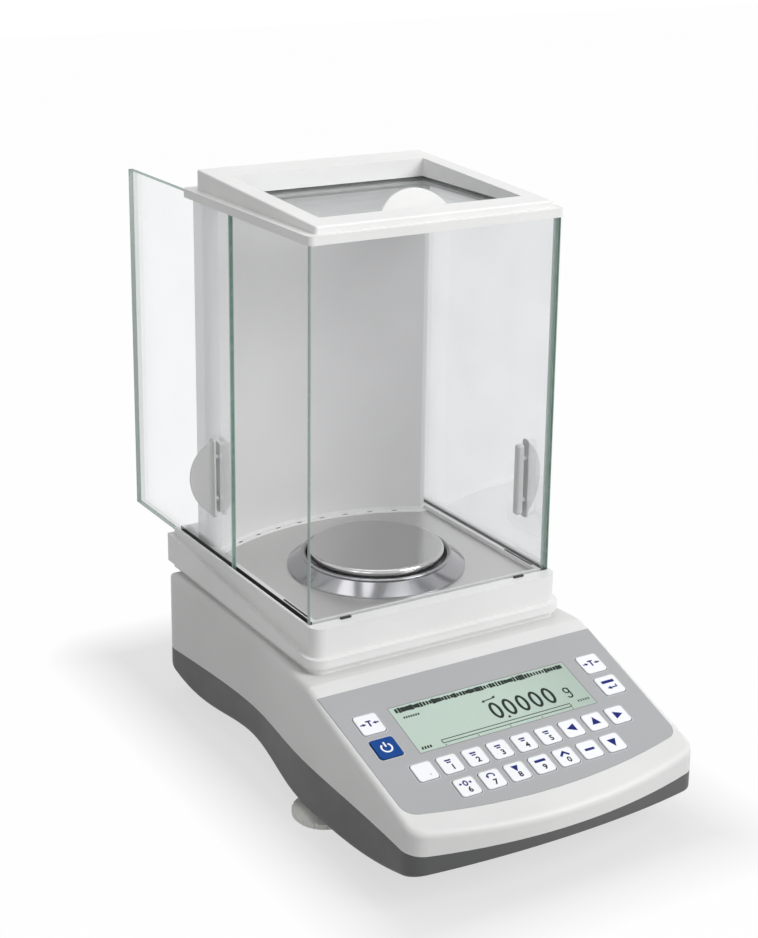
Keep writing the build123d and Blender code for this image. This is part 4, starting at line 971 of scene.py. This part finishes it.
class BALANCE_OT_weighing(BalancePiece, bpy.types.Operator):
    """Pan, draft ring, spindle and floor plate"""

    bl_idname = "balance.weighing"
    bl_label = "Weighing parts"

    def make(self, look, scene):
        low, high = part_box("weighing_pan")
        centre = (low + high) / 2
        pan = metal(
            "pan_steel", scaled(look.steel, 0.92), roughness=0.11, stretch=(3.0, 700.0, 60.0), streak=0.015,
            depth=0.000002,
        )
        dress(pan, "weighing_pan")
        steel = turned_metal("ring_steel", look.ring, centre, roughness=0.12)
        dress(steel, "draft_ring")
        self.lip(steel, scene.balance_ring)
        dress(turned_metal("spindle_steel", look.spindle, centre, roughness=0.3), "pan_spindle")
        plate = metal(
            "plate_steel", scaled(look.steel, 1.12), roughness=0.36, stretch=(500.0, 3.0, 60.0), streak=0.03
        )
        dress(plate, "floor_plate")

    @staticmethod
    def lip(material, bead):
        """Rolled bead on the upper edge of the draft ring."""
        low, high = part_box("draft_ring")
        centre = (low + high) / 2
        reach = (high.x - low.x) / 2 - bead.inset
        points, faces = [], []
        for i in range(bead.steps):
            turn, after = 2 * math.pi * i / bead.steps, (i + 1) % bead.steps
            for k in range(bead.sides):
                a, beside = 2 * math.pi * k / bead.sides, (k + 1) % bead.sides
                radius = reach + bead.half_w * math.cos(a)
                x, y = centre.x + radius * math.cos(turn), centre.y + radius * math.sin(turn)
                points.append((x, y, high.z + bead.half_h * math.sin(a)))
                start, end = i * bead.sides, after * bead.sides
                faces.append((start + k, end + k, end + beside, start + beside))
        mesh = new_mesh("ring_lip", points, faces, material)
        for face in mesh.polygons:
            face.use_smooth = True
        add_piece("ring_lip", mesh, "ring")


class BALANCE_OT_rear(BalancePiece, bpy.types.Operator):
    """Sockets in the rear wall and the round level"""

    bl_idname = "balance.rear"
    bl_label = "Rear fittings"

    def make(self, look, scene):
        dress(metal("socket_steel", look.plated, roughness=0.28), "serial_sockets")
        dress(plastic("socket_black", look.black, roughness=0.45), "power_socket")
        dress(plastic("level_body", look.level, roughness=0.15), "level_bubble")


class BALANCE_OT_inside(BalancePiece, bpy.types.Operator):
    """Boards, snap domes and weighing cell inside the housing"""

    bl_idname = "balance.inside"
    bl_label = "Inside"

    def make(self, look, scene):
        dress(plastic("board_green", look.board, roughness=0.35), "keyboard_board", "main_board")
        dress(metal("dome_steel", look.plated, roughness=0.2), "key_domes")
        dress(metal("cell_aluminium", look.cell, roughness=0.4), "cell_frame", "cell_lever")
        dress(metal("magnet_steel", look.magnet, roughness=0.35), "cell_magnet")


class BALANCE_OT_stage(BalancePiece, bpy.types.Operator):
    """Camera, lamps, surrounding light and floor"""

    bl_idname = "balance.stage"
    bl_label = "Stage"

    def make(self, look, scene):
        stage = scene.balance_stage
        self.camera(stage, scene)
        scene.view_settings.view_transform = "Standard"
        low, high = SIZE_AT_START
        middle = (low + high) / 2
        self.lamp("key_lamp", stage.key_power, stage.key_disc, Vector(stage.key_place), middle)
        self.lamp("fill_lamp", stage.fill_power, stage.fill_disc, Vector(stage.fill_place), middle)
        self.lamp("top_lamp", stage.top_power, stage.top_disc, Vector(stage.top_place), middle)
        self.world(stage, scene)
        self.floor(stage, scene)

    @staticmethod
    def camera(stage, scene):
        c, s = math.cos(stage.dip), math.sin(stage.dip)
        ahead = Vector((math.sin(stage.heading) * c, math.cos(stage.heading) * c, -s))
        right = Vector((math.cos(stage.heading), -math.sin(stage.heading), 0.0))
        up = right.cross(ahead)
        c, s = math.cos(stage.roll), math.sin(stage.roll)
        right, up = right * c + up * s, up * c - right * s
        data = bpy.data.cameras.new("camera")
        data.lens, data.sensor_width = stage.lens, SENSOR_WIDTH
        data.shift_x, data.shift_y = stage.shift_x, stage.shift_y
        camera = bpy.data.objects.new("camera", data)
        camera.matrix_world = Matrix((right, up, -ahead)).transposed().to_4x4()
        camera.location = Vector(stage.eye)
        scene.collection.objects.link(camera)
        scene.camera = camera

    @staticmethod
    def lamp(name, power, disc, spot, target):
        data = bpy.data.lights.new(name, "AREA")
        data.energy, data.size, data.shape = power, disc, "DISK"
        lamp = bpy.data.objects.new(name, data)
        lamp.location = spot
        lamp.rotation_euler = (target - spot).to_track_quat("-Z", "Y").to_euler()
        bpy.context.scene.collection.objects.link(lamp)

    @staticmethod
    def world(stage, scene):
        """White for the camera, mirrors and glass, softer as a light."""
        world = bpy.data.worlds.new("studio")
        world.use_nodes = True
        tree = world.node_tree
        tree.nodes.clear()
        path = tree.nodes.new("ShaderNodeLightPath")
        seen = path.outputs["Is Camera Ray"]
        for name in ("Is Glossy Ray", "Is Transmission Ray"):
            either = tree.nodes.new("ShaderNodeMath")
            either.operation = "MAXIMUM"
            tree.links.new(seen, either.inputs[0])
            tree.links.new(path.outputs[name], either.inputs[1])
            seen = either.outputs[0]
        strength = tree.nodes.new("ShaderNodeMapRange")
        tree.links.new(seen, strength.inputs["Value"])
        strength.inputs["To Min"].default_value = stage.ambient
        strength.inputs["To Max"].default_value = 1.0
        light = tree.nodes.new("ShaderNodeBackground")
        tree.links.new(strength.outputs[0], light.inputs["Strength"])
        light.inputs["Color"].default_value = (1.0, 1.0, 1.0, 1.0)
        out = tree.nodes.new("ShaderNodeOutputWorld")
        tree.links.new(light.outputs[0], out.inputs["Surface"])
        scene.world = world

    @staticmethod
    def floor(stage, scene):
        """Pale floor that turns into the white surroundings away from the balance."""
        n = Nodes("floor")
        grain = n.noise(400.0, 3.0)
        tone = n.mix(n.spread(grain, 0.0, 1.0), scaled(stage.floor, 0.99), scaled(stage.floor, 1.01))
        matt = n.shader(Base_Color=tone, Roughness=n.spread(grain, 0.85, 0.95), Specular_IOR_Level=0.1)
        split = n.add("ShaderNodeSeparateXYZ", Vector=n.coords)
        low, high = SIZE_AT_START
        beside = []
        for axis in range(2):
            past = n.maths("SUBTRACT", n.maths("ABSOLUTE", split.outputs[axis]), (high[axis] - low[axis]) / 2)
            past = n.maths("MAXIMUM", past, 0.0)
            beside.append(n.maths("MULTIPLY", past, past))
        away = n.maths("SQRT", n.maths("ADD", *beside))
        white = n.spread(away, stage.floor_white, stage.floor_far, 0.0, stage.floor_fade)
        path = n.add("ShaderNodeLightPath")
        mirrored = n.maths("MAXIMUM", path.outputs["Is Glossy Ray"], path.outputs["Is Transmission Ray"])
        seen = n.maths("MAXIMUM", path.outputs["Is Camera Ray"], mirrored)
        glow = n.add("ShaderNodeEmission", Color=(1.0, 1.0, 1.0))
        fade = n.add("ShaderNodeMixShader", Fac=n.maths("MULTIPLY", white, seen))
        n.tree.links.new(matt, fade.inputs[1])
        n.tree.links.new(glow.outputs[0], fade.inputs[2])
        half = stage.floor_half
        corners = [(-half, -half, 0), (half, -half, 0), (half, half, 0), (-half, half, 0)]
        mesh = new_mesh("floor", corners, [(0, 1, 2, 3)], n.finish(fade.outputs[0]))
        floor = bpy.data.objects.new("floor", mesh)
        scene.collection.objects.link(floor)


OPERATORS = (
    BALANCE_OT_stage,
    BALANCE_OT_housing,
    BALANCE_OT_feet,
    BALANCE_OT_film,
    BALANCE_OT_display,
    BALANCE_OT_keys,
    BALANCE_OT_shield,
    BALANCE_OT_trim,
    BALANCE_OT_panes,
    BALANCE_OT_weighing,
    BALANCE_OT_rear,
    BALANCE_OT_inside,
)


class BALANCE_PT_pieces(bpy.types.Panel):
    """Lists the balance's pieces in the sidebar."""

    bl_label = "Analytical balance"
    bl_idname = "BALANCE_PT_pieces"
    bl_space_type = "VIEW_3D"
    bl_region_type = "UI"
    bl_category = "Balance"

    def draw(self, context):
        for operator in OPERATORS:
            self.layout.operator(operator.bl_idname)
        for attribute in GROUPS:
            group = getattr(context.scene, attribute)
            box = self.layout.box()
            for name in group.__annotations__:
                box.prop(group, name)


GROUPS = {
    "balance_colours": BalanceColours,
    "balance_panel": BalancePanel,
    "balance_display": BalanceDisplay,
    "balance_ring": BalanceRing,
    "balance_shield": BalanceShield,
    "balance_stage": BalanceStage,
}
CLASSES = (*GROUPS.values(), *OPERATORS, BALANCE_PT_pieces)


def register():
    for cls in CLASSES:
        bpy.utils.register_class(cls)
    for attribute, group in GROUPS.items():
        setattr(bpy.types.Scene, attribute, PointerProperty(type=group))


def unregister():
    for attribute in GROUPS:
        delattr(bpy.types.Scene, attribute)
    for cls in reversed(CLASSES):
        bpy.utils.unregister_class(cls)


def main():
    register()
    for operator in OPERATORS:
        group, name = operator.bl_idname.split(".")
        getattr(getattr(bpy.ops, group), name)()


if __name__ == "__main__":
    main()
